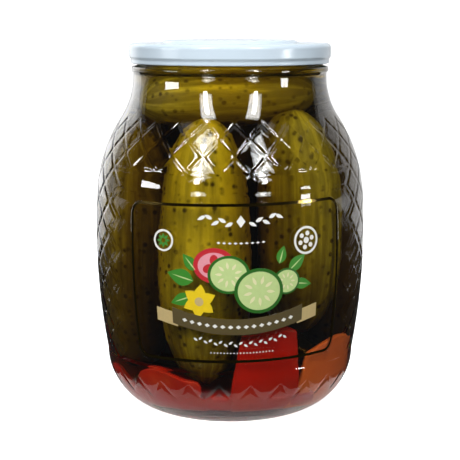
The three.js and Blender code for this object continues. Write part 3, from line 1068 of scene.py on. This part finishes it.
class PICKLEJAR_OT_lid(bpy.types.Operator):
    """Build the lacquered twist-off lid"""

    bl_idname = "pickle_jar.lid"
    bl_label = "Lid"
    settings = "lid"

    def execute(self, context):
        lid = context.scene.pickle_jar.lid
        rim = context.scene.pickle_jar.glass.rim
        under = rim + 0.4 * MM
        inner = lid.radius - lid.sheet
        waist = lid.lip + 2.4 * MM
        crown = lid.top + lid.panel_rise
        profile = [
            (0, crown - lid.sheet),
            (lid.panel_radius - 2.0 * MM, crown - lid.sheet),
            (lid.panel_radius - 1.2 * MM, crown - lid.sheet - 0.3 * MM),
            (lid.panel_radius - 0.5 * MM, under),
            (inner - 1.8 * MM, under),
            (inner - 0.5 * MM, under - 0.5 * MM),
            (inner, under - 1.6 * MM),
            (inner, waist + 0.4 * MM),
            (inner - 0.4 * MM, waist - 0.4 * MM),
            (lid.lip_radius - lid.sheet, waist - 1.3 * MM),
            (lid.lip_radius - lid.sheet, lid.lip + 0.5 * MM),
        ]
        for k in range(7):
            angle = math.pi * (1 + k / 6)
            half = lid.sheet / 2
            profile.append(
                (lid.lip_radius - half + half * math.cos(angle), lid.lip + half + half * math.sin(angle))
            )
        profile += [
            (lid.lip_radius, lid.lip + 0.9 * MM),
            (lid.lip_radius, lid.lip + 1.5 * MM),
            (lid.lip_radius + 0.1 * MM, lid.lip + 1.8 * MM),
            (lid.radius - 0.1 * MM, lid.lip + 2.5 * MM),
            (lid.radius, lid.lip + 2.8 * MM),
            (lid.radius, lid.lip + 3.0 * MM),
            (lid.radius, lid.top - lid.corner - 0.2 * MM),
        ]
        for k in range(11):
            angle = math.pi * k / 20
            reach = lid.corner * (1 - math.cos(angle))
            profile.append((lid.radius - reach, lid.top - lid.corner * (1 - math.sin(angle))))
        profile += [
            (lid.panel_radius + 4.0 * MM, lid.top - 0.02 * MM),
            (lid.panel_radius + 3.0 * MM, lid.top - 0.1 * MM),
            (lid.panel_radius + 2.2 * MM, lid.top - 0.32 * MM),
            (lid.panel_radius + 1.4 * MM, lid.top - 0.38 * MM),
            (lid.panel_radius + 0.7 * MM, lid.top - 0.05 * MM),
            (lid.panel_radius + 0.2 * MM, crown - 0.6 * MM),
            (lid.panel_radius - 0.2 * MM, crown - 0.2 * MM),
            (lid.panel_radius - 0.9 * MM, crown - 0.03 * MM),
            (lid.panel_radius - 1.8 * MM, crown),
            (lid.panel_radius * 0.5, crown),
            (0, crown),
        ]
        made = new_object("twist_off_lid", turned("twist_off_lid", profile, 160))
        made.data.materials.append(lacquer_material(lid))
        place_piece(made, "lid_enamel", "lid")
        return {"FINISHED"}


class PICKLEJAR_OT_brine(bpy.types.Operator):
    """Fill the jar with liquid that reaches just into the wall"""

    bl_idname = "pickle_jar.brine"
    bl_label = "Brine"
    settings = "brine"

    def execute(self, context):
        settings = context.scene.pickle_jar
        outline = Outline(settings.glass)
        level = settings.brine.level
        wall = outline.inner_profile(12, settings.brine.overlap)
        down = [(r, z) for r, z in wall if z < level - 0.4 * MM]
        throat = settings.glass.finish_radius - settings.glass.rim_width + settings.brine.overlap
        profile = list(reversed(down)) + [
            (throat, level),
            (throat - 1.2 * MM, level - 0.35 * MM),
            (throat - 3.5 * MM, level - 0.5 * MM),
            (0, level - 0.5 * MM),
        ]
        made = new_object("brine", turned("brine", profile, 192))
        made.data.materials.append(brine_material(settings.brine))
        place_piece(made, "glass")
        return {"FINISHED"}


def cucumber_mesh(outline, ends, phase, look):
    """One cucumber: a blunt spindle between two ends, lobed and uneven, kept off the wall."""
    start, end = (Vector(point) * MM for point in ends)
    along = end - start
    size = along.length
    turn_up = Vector((0, 1, 0)).rotation_difference(along.normalized())
    middle = (start + end) / 2
    rows, segments = 108, 96
    points, skin, rings = [], [], []
    for k in range(rows + 1):
        share = -math.cos(math.pi * k / rows)
        width = look["girth"] * MM * math.sqrt(max(0.0, 1 - abs(share) ** 2.6))
        ring = []
        for i in range(segments if 0 < k < rows else 1):
            angle = math.tau * i / segments
            along_share = share / 2
            lobes = 0.98 + 0.02 * math.cos(3 * angle + phase) - 0.025 * math.sin(5 * along_share + phase)
            bow = 1.6 * MM * (1 - share * share) * math.sin(phase)
            reach = width * lobes
            spot = Vector((reach * math.sin(angle) + bow, share * size / 2, reach * math.cos(angle)))
            wave = noise.noise(spot * (1 / (11 * MM)) + Vector((phase * 9, 0, 0)))
            ripple = noise.noise(spot * (1 / (4.5 * MM)) + Vector((0, phase * 7, 0)))
            push = 1 + (0.55 * MM * wave + 0.22 * MM * ripple) / max(width, 3 * MM)
            spot = Vector((spot.x * push, spot.y, spot.z * push))
            spot.rotate(turn_up)
            spot += middle
            reach = math.hypot(spot.x, spot.y)
            limit = outline.inner(spot.z) - 1.2 * MM
            if reach > limit:
                spot.x *= limit / reach
                spot.y *= limit / reach
            ring.append(len(points))
            points.append(spot)
            skin.append((math.cos(angle) + 7 * phase, math.sin(angle), 0.5 * along_share))
        rings.append(ring if len(ring) > 1 else ring * segments)
    faces = []
    for low, high in zip(rings, rings[1:]):
        for i in range(segments):
            k = (i + 1) % segments
            faces.append(list(dict.fromkeys((low[i], low[k], high[k], high[i]))))
    mesh = mesh_from("cucumber", points, faces)
    attribute(mesh, "skin", "FLOAT_VECTOR", skin)
    tones = []
    for point in points:
        # Painted shade: the skin's tone is made darker towards the bottom of the jar, where less light
        # reaches
        low = 0.7 * max(0, 1 - point.z / (70 * MM))
        tones.append((look["shade"] + low, look["green"], 0))
    attribute(mesh, "tone", "FLOAT_VECTOR", tones)
    return mesh


def wart_tree(material, seed):
    """Raises warts at scattered places on a skin and marks them for the colour."""
    tree = new_tree("Cucumber warts", ("Wart spacing", "Wart radius", "Wart height"))
    given = add(tree, "NodeGroupInput").outputs
    spread = add(
        tree,
        "GeometryNodeDistributePointsOnFaces",
        {
            "Mesh": given["Geometry"],
            "Distance Min": given["Wart spacing"],
            "Density Max": 60000.0,
            "Seed": seed,
        },
        distribute_method="POISSON",
    )
    near = add(tree, "GeometryNodeProximity", {0: spread.outputs["Points"]}, target_element="POINTS")
    mark = add(
        tree,
        "ShaderNodeMapRange",
        {
            "Value": near.outputs["Distance"],
            "From Min": 0.0,
            "From Max": given["Wart radius"],
            "To Min": 1.0,
            "To Max": 0.0,
        },
        interpolation_type="SMOOTHSTEP",
    )
    stored = add(
        tree,
        "GeometryNodeStoreNamedAttribute",
        {"Geometry": given["Geometry"], "Name": "wart", "Value": mark},
        data_type="FLOAT",
        domain="POINT",
    )
    rise = add(tree, "ShaderNodeMath", {0: mark, 1: given["Wart height"]}, operation="MULTIPLY")
    facing = add(tree, "GeometryNodeInputNormal")
    step = add(tree, "ShaderNodeVectorMath", {0: facing, "Scale": rise}, operation="SCALE")
    moved = add(tree, "GeometryNodeSetPosition", {"Geometry": stored, "Offset": step})
    whole = add(tree, "GeometryNodeRealizeInstances", {0: moved})
    painted = add(tree, "GeometryNodeSetMaterial", {"Geometry": whole, "Material": material})
    add(tree, "NodeGroupOutput", {0: painted})
    return tree


class PICKLEJAR_OT_cucumbers(bpy.types.Operator):
    """Build the standing and lying cucumbers with their warts"""

    bl_idname = "pickle_jar.cucumbers"
    bl_label = "Cucumbers"
    settings = "cucumber"

    def execute(self, context):
        settings = context.scene.pickle_jar
        outline = Outline(settings.glass)
        meshes = []
        for k, one in enumerate(STANDING):
            side = math.radians(one["angle"])
            low = round_point(side, one["reach"] - 1, one["low"])
            high = round_point(side, one["reach"] - 2.2, one["high"])
            meshes.append(cucumber_mesh(outline, (low, high), 1.7 * k, one))
        for k, one in enumerate(LYING):
            meshes.append(cucumber_mesh(outline, one["ends"], 0.9 + 2.1 * k, one))
        meshes.append(cucumber_mesh(outline, MIDDLE["ends"], 2.4, MIDDLE))
        made = new_object("cucumbers", joined("cucumbers", meshes))
        size = settings.cucumber
        tree = wart_tree(cucumber_material(size), seed=7)
        shape_by(
            made,
            tree,
            {
                "Wart spacing": size.wart_spacing,
                "Wart radius": size.wart_radius,
                "Wart height": size.wart_height,
            },
        )
        place_piece(made, "cucumber", "pickles")
        return {"FINISHED"}


class PICKLEJAR_OT_peppers(bpy.types.Operator):
    """Build the red pepper strips round the foot and the bed they stand in"""

    bl_idname = "pickle_jar.peppers"
    bl_label = "Peppers"
    settings = "pepper"

    def execute(self, context):
        settings = context.scene.pickle_jar
        outline = Outline(settings.glass)
        thick = settings.pepper.thick
        meshes = []
        for k, one in enumerate(STRIPS):
            meshes.append(self.strip(outline, one, thick, 1.3 * k))
        floor = settings.glass.floor
        bed = [(0, floor + 2.4 * MM)]
        for k in range(6):
            z = floor + (2 + 6 * k / 5) * MM
            bed.append((outline.inner(z) - 1.6 * MM, z))
        bed += [(24 * MM, floor + 9 * MM), (0, floor + 8.5 * MM)]
        core = turned("pepper_bed", bed, 72)
        attribute(core, "pale", "FLOAT", [-0.1] * len(core.vertices))
        made = new_object("pepper_strips", joined("pepper_strips", meshes + [core]))
        made.data.materials.append(pepper_material(settings.pepper))
        smooth = made.modifiers.new("Rounding", "SUBSURF")
        smooth.levels = smooth.render_levels = 1
        settle(made)
        place_piece(made, "red_pepper", "peppers")
        return {"FINISHED"}

    def strip(self, outline, one, thick, phase):
        """A thick curved slab that follows the inside of the wall, with wavy edges."""
        low, high = one["low"] * MM, one["high"] * MM
        width = one["width"] * MM
        middle = outline.inner((low + high) / 2)

        def place(across, up, side):
            u = across - 0.5
            share = up - 0.5
            edge = (math.sin(6 * u + phase) * 1.4 - 11 * abs(u) ** 3) * MM * max(0, up - 0.5) * 2
            z = max(low, low + (high - low) * up + edge)
            swell = 0.8 * MM * math.cos(5 * u + 2 * phase + 3 * share)
            outer = outline.inner(z) - 1.1 * MM - max(0, swell)
            depth = thick * (1 - 0.5 * abs(share)) * (1 - 0.5 * abs(2 * u) ** 4)
            taper = 1 - 0.14 * share - 0.06 * math.sin(5 * share + phase) - 0.5 * max(0, up - 0.7) ** 1.5
            angle = math.radians(one["angle"]) + u * width * taper / middle
            return round_point(angle, outer - (0 if side else depth), z)

        mesh = slab("pepper_strip", 18, 16, place)
        attribute(mesh, "pale", "FLOAT", [one["pale"]] * len(mesh.vertices))
        return mesh


def oval(u, v, wide, high=None, steps=40, turned_by=0.0):
    """Outline of an ellipse in label millimetres."""
    high = wide if high is None else high
    points = []
    for k in range(steps):
        angle = math.tau * k / steps
        x, y = wide * math.cos(angle), high * math.sin(angle)
        points.append(
            (
                u + x * math.cos(turned_by) - y * math.sin(turned_by),
                v + x * math.sin(turned_by) + y * math.cos(turned_by),
            )
        )
    return points


def leaf(u, v, size, wide, direction):
    """Outline of a pointed leaf from its foot."""
    points = []
    for side in (1, -1):
        for k in range(8):
            share = k / 8 if side > 0 else 1 - k / 8
            x, y = size * share, side * wide / 2 * math.sin(math.pi * share ** 0.8)
            points.append(
                (
                    u + x * math.cos(direction) - y * math.sin(direction),
                    v + x * math.sin(direction) + y * math.cos(direction),
                )
            )
    return points


def rounded(half_width, half_height, corner, steps=8):
    """Outline of a rectangle with round corners."""
    points = []
    for quarter, (x, y) in enumerate(((1, 1), (-1, 1), (-1, -1), (1, -1))):
        for k in range(steps + 1):
            angle = math.pi / 2 * (quarter + k / steps)
            points.append(
                (
                    x * (half_width - corner) + corner * math.cos(angle),
                    y * (half_height - corner) + corner * math.sin(angle),
                )
            )
    return points


class Print:
    """Flat shapes of a printed label in millimetres about its middle, each with an ink and a layer."""

    def __init__(self, inks):
        self.inks = inks
        self.flat = bmesh.new()

    def fill(self, outline, ink, layer=0):
        corners = [self.flat.verts.new((u, v, layer)) for u, v in outline]
        self.flat.faces.new(corners).material_index = ink

    def band(self, outer, inner, ink, layer=0):
        """A closed band between two outlines with as many points."""
        loops = [[self.flat.verts.new((u, v, layer)) for u, v in outline] for outline in (outer, inner)]
        for k in range(len(outer)):
            n = (k + 1) % len(outer)
            self.flat.faces.new((loops[0][k], loops[0][n], loops[1][n], loops[1][k])).material_index = ink

    def ribbon(self, path, widths, ink, layer=0):
        """A band along a path that runs to the right, so wide at each point."""
        edges = []
        for (u, v), wide in zip(path, widths):
            edges.append([self.flat.verts.new((u, v + side * wide / 2, layer)) for side in (-1, 1)])
        for (a, b), (c, d) in zip(edges, edges[1:]):
            self.flat.faces.new((a, c, d, b)).material_index = ink

    def take(self, mesh, ink, layer=0):
        """Adds the flat faces of a mesh."""
        first = len(self.flat.verts)
        face = len(self.flat.faces)
        self.flat.from_mesh(mesh)
        self.flat.verts.ensure_lookup_table()
        self.flat.faces.ensure_lookup_table()
        for vertex in self.flat.verts[first:]:
            vertex.co.z = layer
        for one in self.flat.faces[face:]:
            one.material_index = ink

    def wrapped(self, name, place):
        """A mesh of the shapes as thin solids; place(u, v, layer) gives a point, the back at layer -1."""
        flat = self.flat
        bmesh.ops.triangulate(flat, faces=flat.faces[:])
        for way, reach, step in (((1, 0, 0), 44, 2), ((0, 1, 0), 30, 3)):
            for cut in range(-reach, reach + 1, step):
                bmesh.ops.bisect_plane(
                    flat,
                    geom=flat.verts[:] + flat.edges[:] + flat.faces[:],
                    plane_co=Vector(way) * (cut + 0.37),
                    plane_no=way,
                )
        raised = bmesh.ops.extrude_face_region(flat, geom=flat.faces[:], use_keep_orig=True)
        tops = {item for item in raised["geom"] if isinstance(item, bmesh.types.BMVert)}
        for vertex in flat.verts:
            layer = vertex.co.z if vertex in tops else -1
            vertex.co = place(vertex.co.x, vertex.co.y, layer)
        bmesh.ops.recalc_face_normals(flat, faces=flat.faces[:])
        mesh = bpy.data.meshes.new(name)
        flat.to_mesh(mesh)
        flat.free()
        return mesh


def chain_tree(material):
    """Sets lozenges along a line at even spacing."""
    tree = new_tree("Lozenge chain", ("Spacing", "Lozenge length", "Lozenge height"))
    given = add(tree, "NodeGroupInput").outputs
    line = add(tree, "GeometryNodeMeshToCurve", {0: given["Geometry"]})
    even = add(
        tree, "GeometryNodeResampleCurve", {"Curve": line, "Length": given["Spacing"]}, mode="LENGTH"
    )
    one = add(tree, "GeometryNodeMeshCircle", {"Vertices": 4, "Radius": 0.5}, fill_type="NGON")
    size = add(
        tree,
        "ShaderNodeCombineXYZ",
        {0: given["Lozenge length"], 1: given["Lozenge height"], 2: 1.0},
    )
    way = add(tree, "GeometryNodeInputTangent")
    heading = add(tree, "FunctionNodeAlignRotationToVector", {"Vector": way}, axis="X")
    placed = add(
        tree,
        "GeometryNodeInstanceOnPoints",
        {"Points": even, "Instance": one, "Rotation": heading, "Scale": size},
    )
    whole = add(tree, "GeometryNodeRealizeInstances", {0: placed})
    painted = add(tree, "GeometryNodeSetMaterial", {"Geometry": whole, "Material": material})
    add(tree, "NodeGroupOutput", {0: painted})
    return tree


def bowed(half, middle_height, end_height, steps=26, offset=0.0):
    """Points of a shallow bow from one side to the other."""
    points = []
    for k in range(steps + 1):
        share = 2 * k / steps - 1
        rise = (end_height - middle_height) * share * share
        points.append((offset + half * share, middle_height + rise))
    return points


GOLD, WHITE, LEAF, RIND, FLESH, SEED, RED, PINK, YELLOW, OLIVE, TAN = range(11)


class PICKLEJAR_OT_label(bpy.types.Operator):
    """Build the clear film label and its printed garden picture"""

    bl_idname = "pickle_jar.label"
    bl_label = "Label"
    settings = "label"

    def execute(self, context):
        settings = context.scene.pickle_jar
        outline = Outline(settings.glass)
        label = settings.label
        middle = (label.low + label.high) / 2
        half_width, half_height = label.width / 2, (label.high - label.low) / 2
        round_radius = outline.outer(middle)

        def wrap(u, v, depth):
            """A point of the label, in metres about its middle, so far under the body's round."""
            across = u * math.cos(label.tilt) - v * math.sin(label.tilt)
            z = middle + u * math.sin(label.tilt) + v * math.cos(label.tilt)
            return round_point(label.angle + across / round_radius, outline.outer(z) - depth, z)

        def film(across, up, side):
            v = -half_height * math.cos(math.pi * up)
            into_corner = max(0.0, abs(v) - half_height + label.corner)
            inset = label.corner - math.sqrt(max(0.0, label.corner ** 2 - into_corner ** 2))
            u = (2 * across - 1) * (half_width - inset)
            return wrap(u, v, 0.5 * MM - side * label.film)

        sheet = new_object("label_film", slab("label_film", 90, 64, film))
        sheet.data.materials.append(film_material())
        place_piece(sheet, "label_film", "label")

        inks = (
            foil_material(),
            ink_material("white_ink", 0xF2F2EC),
            ink_material("leaf_green_ink", 0x3E8A2C),
            ink_material("rind_green_ink", 0x2C6A22),
            ink_material("pale_green_ink", 0xC4DA92),
            ink_material("seed_ink", 0xE6E4B4),
            ink_material("red_ink", 0xC42A34),
            ink_material("pink_ink", 0xE79AA6),
            ink_material("yellow_ink", 0xF0CF22),
            ink_material("olive_ink", 0x5A4E30),
            ink_material("tan_ink", 0xC9B27C),
        )
        art = Print(inks)
        self.frame(art, label.line / MM)
        self.sprigs(art)
        self.garden(art)
        self.banner(art)
        top = 0.5 * MM - label.film

        def ink(u, v, layer):
            depth = top + 0.01 * MM if layer < 0 else top - (0.05 + 0.03 * layer) * MM
            return wrap(u * MM, v * MM, depth)

        made = new_object("label_print", art.wrapped("label_print", ink))
        for material in inks:
            made.data.materials.append(material)
        place_piece(made, "label_film")
        return {"FINISHED"}

    def frame(self, art, line):
        """Foil line round the label."""
        loops = [rounded(44.5 - inset, 30.9 - inset, 5 - inset) for inset in (0, line)]
        art.band(*[[(u, v + 0.4) for u, v in loop] for loop in loops], GOLD)

    def sprigs(self, art):
        """Laurel sprigs at the top, a rule of lozenges under them and a roundel on each side."""
        for side in (-1, 1):
            for k in range(5):
                u, v = 1.3 + side * (3 + 2.6 * k), 24.2 + 0.16 * k * k
                lean = 0.5 if k % 2 else -0.45
                heading = (0 if side > 0 else math.pi) + side * lean
                art.fill(leaf(u, v, 3.4, 1.4, heading), WHITE)
        art.fill(oval(1.3, 24.6, 1.7, 2.3, 4), WHITE)
        self.chain(art, bowed(8.5, 16.4, 16.7, offset=1.3), 2.1, 1.5, 0.9, WHITE)
        art.band(oval(-29, 17, 4.2), oval(-29, 17, 3.4), WHITE)
        for k in range(8):
            angle = math.tau * k / 8
            art.fill(leaf(-29 + 0.7 * math.cos(angle), 17 + 0.7 * math.sin(angle), 2.1, 1.1, angle), LEAF)
        art.band(oval(27.5, 16, 5.4), oval(27.5, 16, 4.5), WHITE)
        art.fill(oval(27.5, 16, 1.2), WHITE)
        for k in range(6):
            angle = math.tau * k / 6 + 0.3
            art.fill(oval(27.5 + 2.7 * math.cos(angle), 16 + 2.7 * math.sin(angle), 0.9), WHITE)

    def garden(self, art):
        """Cucumber slices, a pepper ring, a blossom and leaves."""
        for u, v, size, wide, heading in (
            (-17, 2, 11, 6.5, 165),
            (-16, 6, 8, 4.5, 128),
            (-18, -4, 9, 5.0, 200),
            (20, 5, 9, 5.0, 40),
            (22, 0, 8, 4.4, -8),
            (16, 8, 7, 4.0, 74),
        ):
            art.fill(leaf(u, v, size, wide, math.radians(heading)), LEAF)
            art.fill(leaf(u, v, size * 0.82, 0.5, math.radians(heading)), FLESH, 1)
        art.fill(oval(-9, 8, 8, 6.8), RED, 1)
        art.fill(oval(-9, 8, 6.2, 5.0), PINK, 2)
        for k in range(3):
            angle = math.radians(90 + 120 * k)
            hole = oval(-9 + 2.6 * math.cos(angle), 8 + 2.1 * math.sin(angle), 2.1, 1.6, 24, angle)
            art.fill(hole, RED, 3)
        for step, (u, v, size) in enumerate(((19, 1, 5.5), (-3.5, 4.5, 8.0), (8, -2, 9.5))):
            layer = 4 if step < 2 else 7
            art.fill(oval(u, v, size, 0.92 * size), RIND, layer)
            art.fill(oval(u, v, 0.86 * size, 0.79 * size), FLESH, layer + 1)
            for k in range(9):
                angle = math.tau * k / 9 + 0.3 * step
                foot = (u + 0.3 * size * math.cos(angle), v + 0.27 * size * math.sin(angle))
                seed = leaf(*foot, 0.36 * size, 0.13 * size, angle)
                art.fill(seed, SEED, layer + 2)
        for k in range(6):
            angle = math.tau * k / 6 + 0.4
            art.fill(leaf(-15, -6, 6.8, 4.6, angle), YELLOW, 5)
        art.fill(oval(-15, -6, 1.7), TAN, 6)

    def banner(self, art):
        """A bowed ribbon with a chain of lozenges, a garland under it and a dotted rule."""
        bow = bowed(26, -16, -11.8)
        art.ribbon(bow, [6.2] * len(bow), OLIVE, 10)
        # The tails are printed a lighter tan: a painted sheen, standing in for the foil ribbon's ends
        # catching the light
        for side in (-1, 1):
            tail = [(side * (24 + 2.2 * k), -13.6 + 0.5 * k) for k in range(5)]
            art.ribbon(tail if side > 0 else tail[::-1], [5.2] * 5, TAN, 9)
        self.chain(art, bowed(21, -16, -13.4), 3.0, 2.1, 1.6, WHITE, 11)
        for k, (u, v) in enumerate(bowed(18, -23, -20.5, 18, 1)):
            art.fill(leaf(u - 0.8, v, 1.9, 0.9, 0.6 if k % 2 else -0.6), WHITE)
        self.chain(art, bowed(12.5, -26.5, -26.3, offset=1.5), 1.3, 0.7, 0.7, WHITE)

    def chain(self, art, path, spacing, size, high, ink, layer=0):
        """Lozenges along a path, set out by a node tree."""
        line = bpy.data.meshes.new("lozenge_chain")
        line.from_pydata([(u, v, 0) for u, v in path], [(k, k + 1) for k in range(len(path) - 1)], [])
        made = new_object("lozenge_chain", line)
        sizes = {"Spacing": spacing, "Lozenge length": size, "Lozenge height": high}
        shape_by(made, chain_tree(art.inks[ink]), sizes)
        mesh = made.data
        art.take(mesh, ink, layer)
        bpy.data.objects.remove(made)
        bpy.data.meshes.remove(mesh)


def lamp(name, azimuth, elevation, distance, wide, high, radiance, target):
    """A soft lamp on a stand, by the direction that it is seen in from its target."""
    side, up = math.radians(azimuth), math.radians(elevation)
    away = Vector((math.sin(side) * math.cos(up), -math.cos(side) * math.cos(up), math.sin(up)))
    data = bpy.data.lights.new(name, "AREA")
    data.shape = "RECTANGLE"
    data.size = wide
    data.size_y = high
    data.energy = radiance * math.pi * wide * high
    made = bpy.data.objects.new(name, data)
    made.location = target + away * distance
    made.rotation_euler = away.to_track_quat("Z", "Y").to_euler()
    made.visible_camera = False
    bpy.context.scene.collection.objects.link(made)
    return made


class PICKLEJAR_OT_stage(bpy.types.Operator):
    """Set up the camera, the lamps, the floor and the backdrop"""

    bl_idname = "pickle_jar.stage"
    bl_label = "Stage"
    settings = "stage"

    def execute(self, context):
        scene = context.scene
        settings = scene.pickle_jar.stage
        data = bpy.data.cameras.new("camera")
        data.lens = settings.lens
        data.sensor_width = 36
        camera = bpy.data.objects.new("camera", data)
        camera.location = (0, -settings.distance, settings.height)
        aim = Vector((0, 0, settings.aim))
        camera.rotation_euler = (aim - camera.location).to_track_quat("-Z", "Y").to_euler()
        scene.collection.objects.link(camera)
        scene.camera = camera

        turns = [k * math.pi / 24 for k in range(1, 13)]
        bend = [(0.9 + 0.5 * math.sin(angle), 0.5 - 0.5 * math.cos(angle)) for angle in turns]
        near = turned("floor_near", [(0.064, -0.0002), (0.064, 0), (0.05, 0), (0, 0)], 96)
        far = turned("floor_far", [(0.7, -0.0002), (0.7, 0), (0.3, 0), (0.064, 0), (0.064, -0.0002)], 96)
        sweep = [(0.3, 0.0002), (0.9, 0.0002), *bend, (1.4, 2.0)]
        points = [(x, y, z) for y, z in sweep for x in (-2.5, -0.8, 0.8, 2.5)]
        faces = []
        for j in range(len(sweep) - 1):
            for i in range(3):
                first = 4 * j + i
                faces.append((first, first + 1, first + 5, first + 4))
        back = mesh_from("backdrop", points, faces)
        floor = floor_material("floor_paper", settings, 0.0)
        wall = floor_material("backdrop_paper", settings, 0.4)
        for mesh, white, mirrored, through in (
            (near, floor, True, False),
            (far, floor, False, False),
            (back, wall, True, True),
        ):
            mesh.polygons.foreach_set("use_smooth", [False] * len(mesh.polygons))
            mesh.materials.append(white)
            paper = new_object(mesh.name, mesh)
            # The far floor is kept out of the glass, where it would lie as a veil over the front
            paper.visible_glossy = mirrored
            paper.visible_diffuse = mirrored
            paper.visible_transmission = through

        middle = Vector((0, 0, 0.085))
        lamp("lamp_left_front", -28.5, 30, 0.9, 0.06, 0.44, 40, middle)
        lamp("lamp_left_halo", -28.5, 35, 0.92, 0.2, 0.52, 6.5, middle)
        lamp("lamp_right_front", 30, 30, 0.9, 0.06, 0.44, 40, middle)
        lamp("lamp_right_halo", 30, 35, 0.92, 0.2, 0.52, 6.5, middle)
        lamp("lamp_left_rim", -142, 12, 0.9, 0.5, 0.7, 1.4, middle)
        lamp("lamp_over", 0, 90, 1.4, 2.0, 2.0, 0.7, Vector((0, 0.35, 0.1)))
        fill = lamp("lamp_left_fill", -72, 17, 0.9, 0.36, 0.14, 7, middle)
        fill.visible_glossy = False
        fill.visible_transmission = False
        neck = lamp("lamp_neck", 0, 4, 0.25, 0.03, 0.02, 9, Vector((0, 0, 0.146)))
        neck.data.spread = math.radians(16)
        neck.visible_glossy = False
        neck.visible_transmission = False
        # The lid would shade the cucumbers in the neck, so this lamp is kept for them alone
        lit = bpy.data.collections.new("lit_in_the_neck")
        lit.objects.link(bpy.data.objects["cucumbers"])
        neck.light_linking.receiver_collection = lit
        # Two low lamps that only show as reflections, in the glass and on the lid
        for name, side, height, wide, high in (
            ("lamp_left_gleam", -70, 0.215, 0.3, 0.12),
            ("lamp_right_gleam", 65, 0.155, 0.15, 0.18),
        ):
            gleam = lamp(name, side, 0, 0.9, wide, high, 20, Vector((0, 0, height)))
            gleam.visible_diffuse = False
            gleam.visible_transmission = False

        world = bpy.data.worlds.new("studio")
        world.use_nodes = True
        tree = world.node_tree
        tree.nodes.clear()
        room = add(tree, "ShaderNodeBackground", {"Color": (0.9, 0.95, 1.0, 1), "Strength": 0.03})
        paper = add(tree, "ShaderNodeBackground", {"Color": (1, 1, 1, 1), "Strength": 1.0})
        path = add(tree, "ShaderNodeLightPath")
        seen = add(tree, "ShaderNodeMixShader", {0: path.outputs["Is Camera Ray"], 1: room, 2: paper})
        add(tree, "ShaderNodeOutputWorld", {"Surface": seen})
        scene.world = world
        scene.view_settings.view_transform = "Standard"
        scene.cycles.max_bounces = 24
        scene.cycles.transmission_bounces = 20
        scene.cycles.transparent_max_bounces = 24
        return {"FINISHED"}


class PICKLEJAR_PT_panel(bpy.types.Panel):
    """Lists the jar's pieces and their settings"""

    bl_idname = "PICKLEJAR_PT_panel"
    bl_label = "Pickle Jar"
    bl_space_type = "VIEW_3D"
    bl_region_type = "UI"
    bl_category = "Pickle Jar"

    def draw(self, context):
        settings = context.scene.pickle_jar
        for piece in PIECES:
            box = self.layout.box()
            box.operator(piece.bl_idname)
            group = getattr(settings, piece.settings)
            for name in group.__annotations__:
                box.prop(group, name)


# The pieces in the order that they are built
PIECES = (
    PICKLEJAR_OT_lid,
    PICKLEJAR_OT_cucumbers,
    PICKLEJAR_OT_peppers,
    PICKLEJAR_OT_brine,
    PICKLEJAR_OT_glass,
    PICKLEJAR_OT_label,
    PICKLEJAR_OT_stage,
)
GROUPS = (
    GlassSettings,
    LidSettings,
    BrineSettings,
    CucumberSettings,
    PepperSettings,
    LabelSettings,
    StageSettings,
    JarSettings,
)


def register():
    for kind in (*GROUPS, *PIECES, PICKLEJAR_PT_panel):
        bpy.utils.register_class(kind)
    bpy.types.Scene.pickle_jar = bpy.props.PointerProperty(
        name="Pickle jar", description="Settings of the pickle jar", type=JarSettings
    )


def unregister():
    del bpy.types.Scene.pickle_jar
    for kind in reversed((*GROUPS, *PIECES, PICKLEJAR_PT_panel)):
        bpy.utils.unregister_class(kind)


def main():
    register()
    bpy.ops.pickle_jar.lid()
    bpy.ops.pickle_jar.cucumbers()
    bpy.ops.pickle_jar.peppers()
    bpy.ops.pickle_jar.brine()
    bpy.ops.pickle_jar.glass()
    bpy.ops.pickle_jar.label()
    bpy.ops.pickle_jar.stage()


if __name__ == "__main__":
    main()
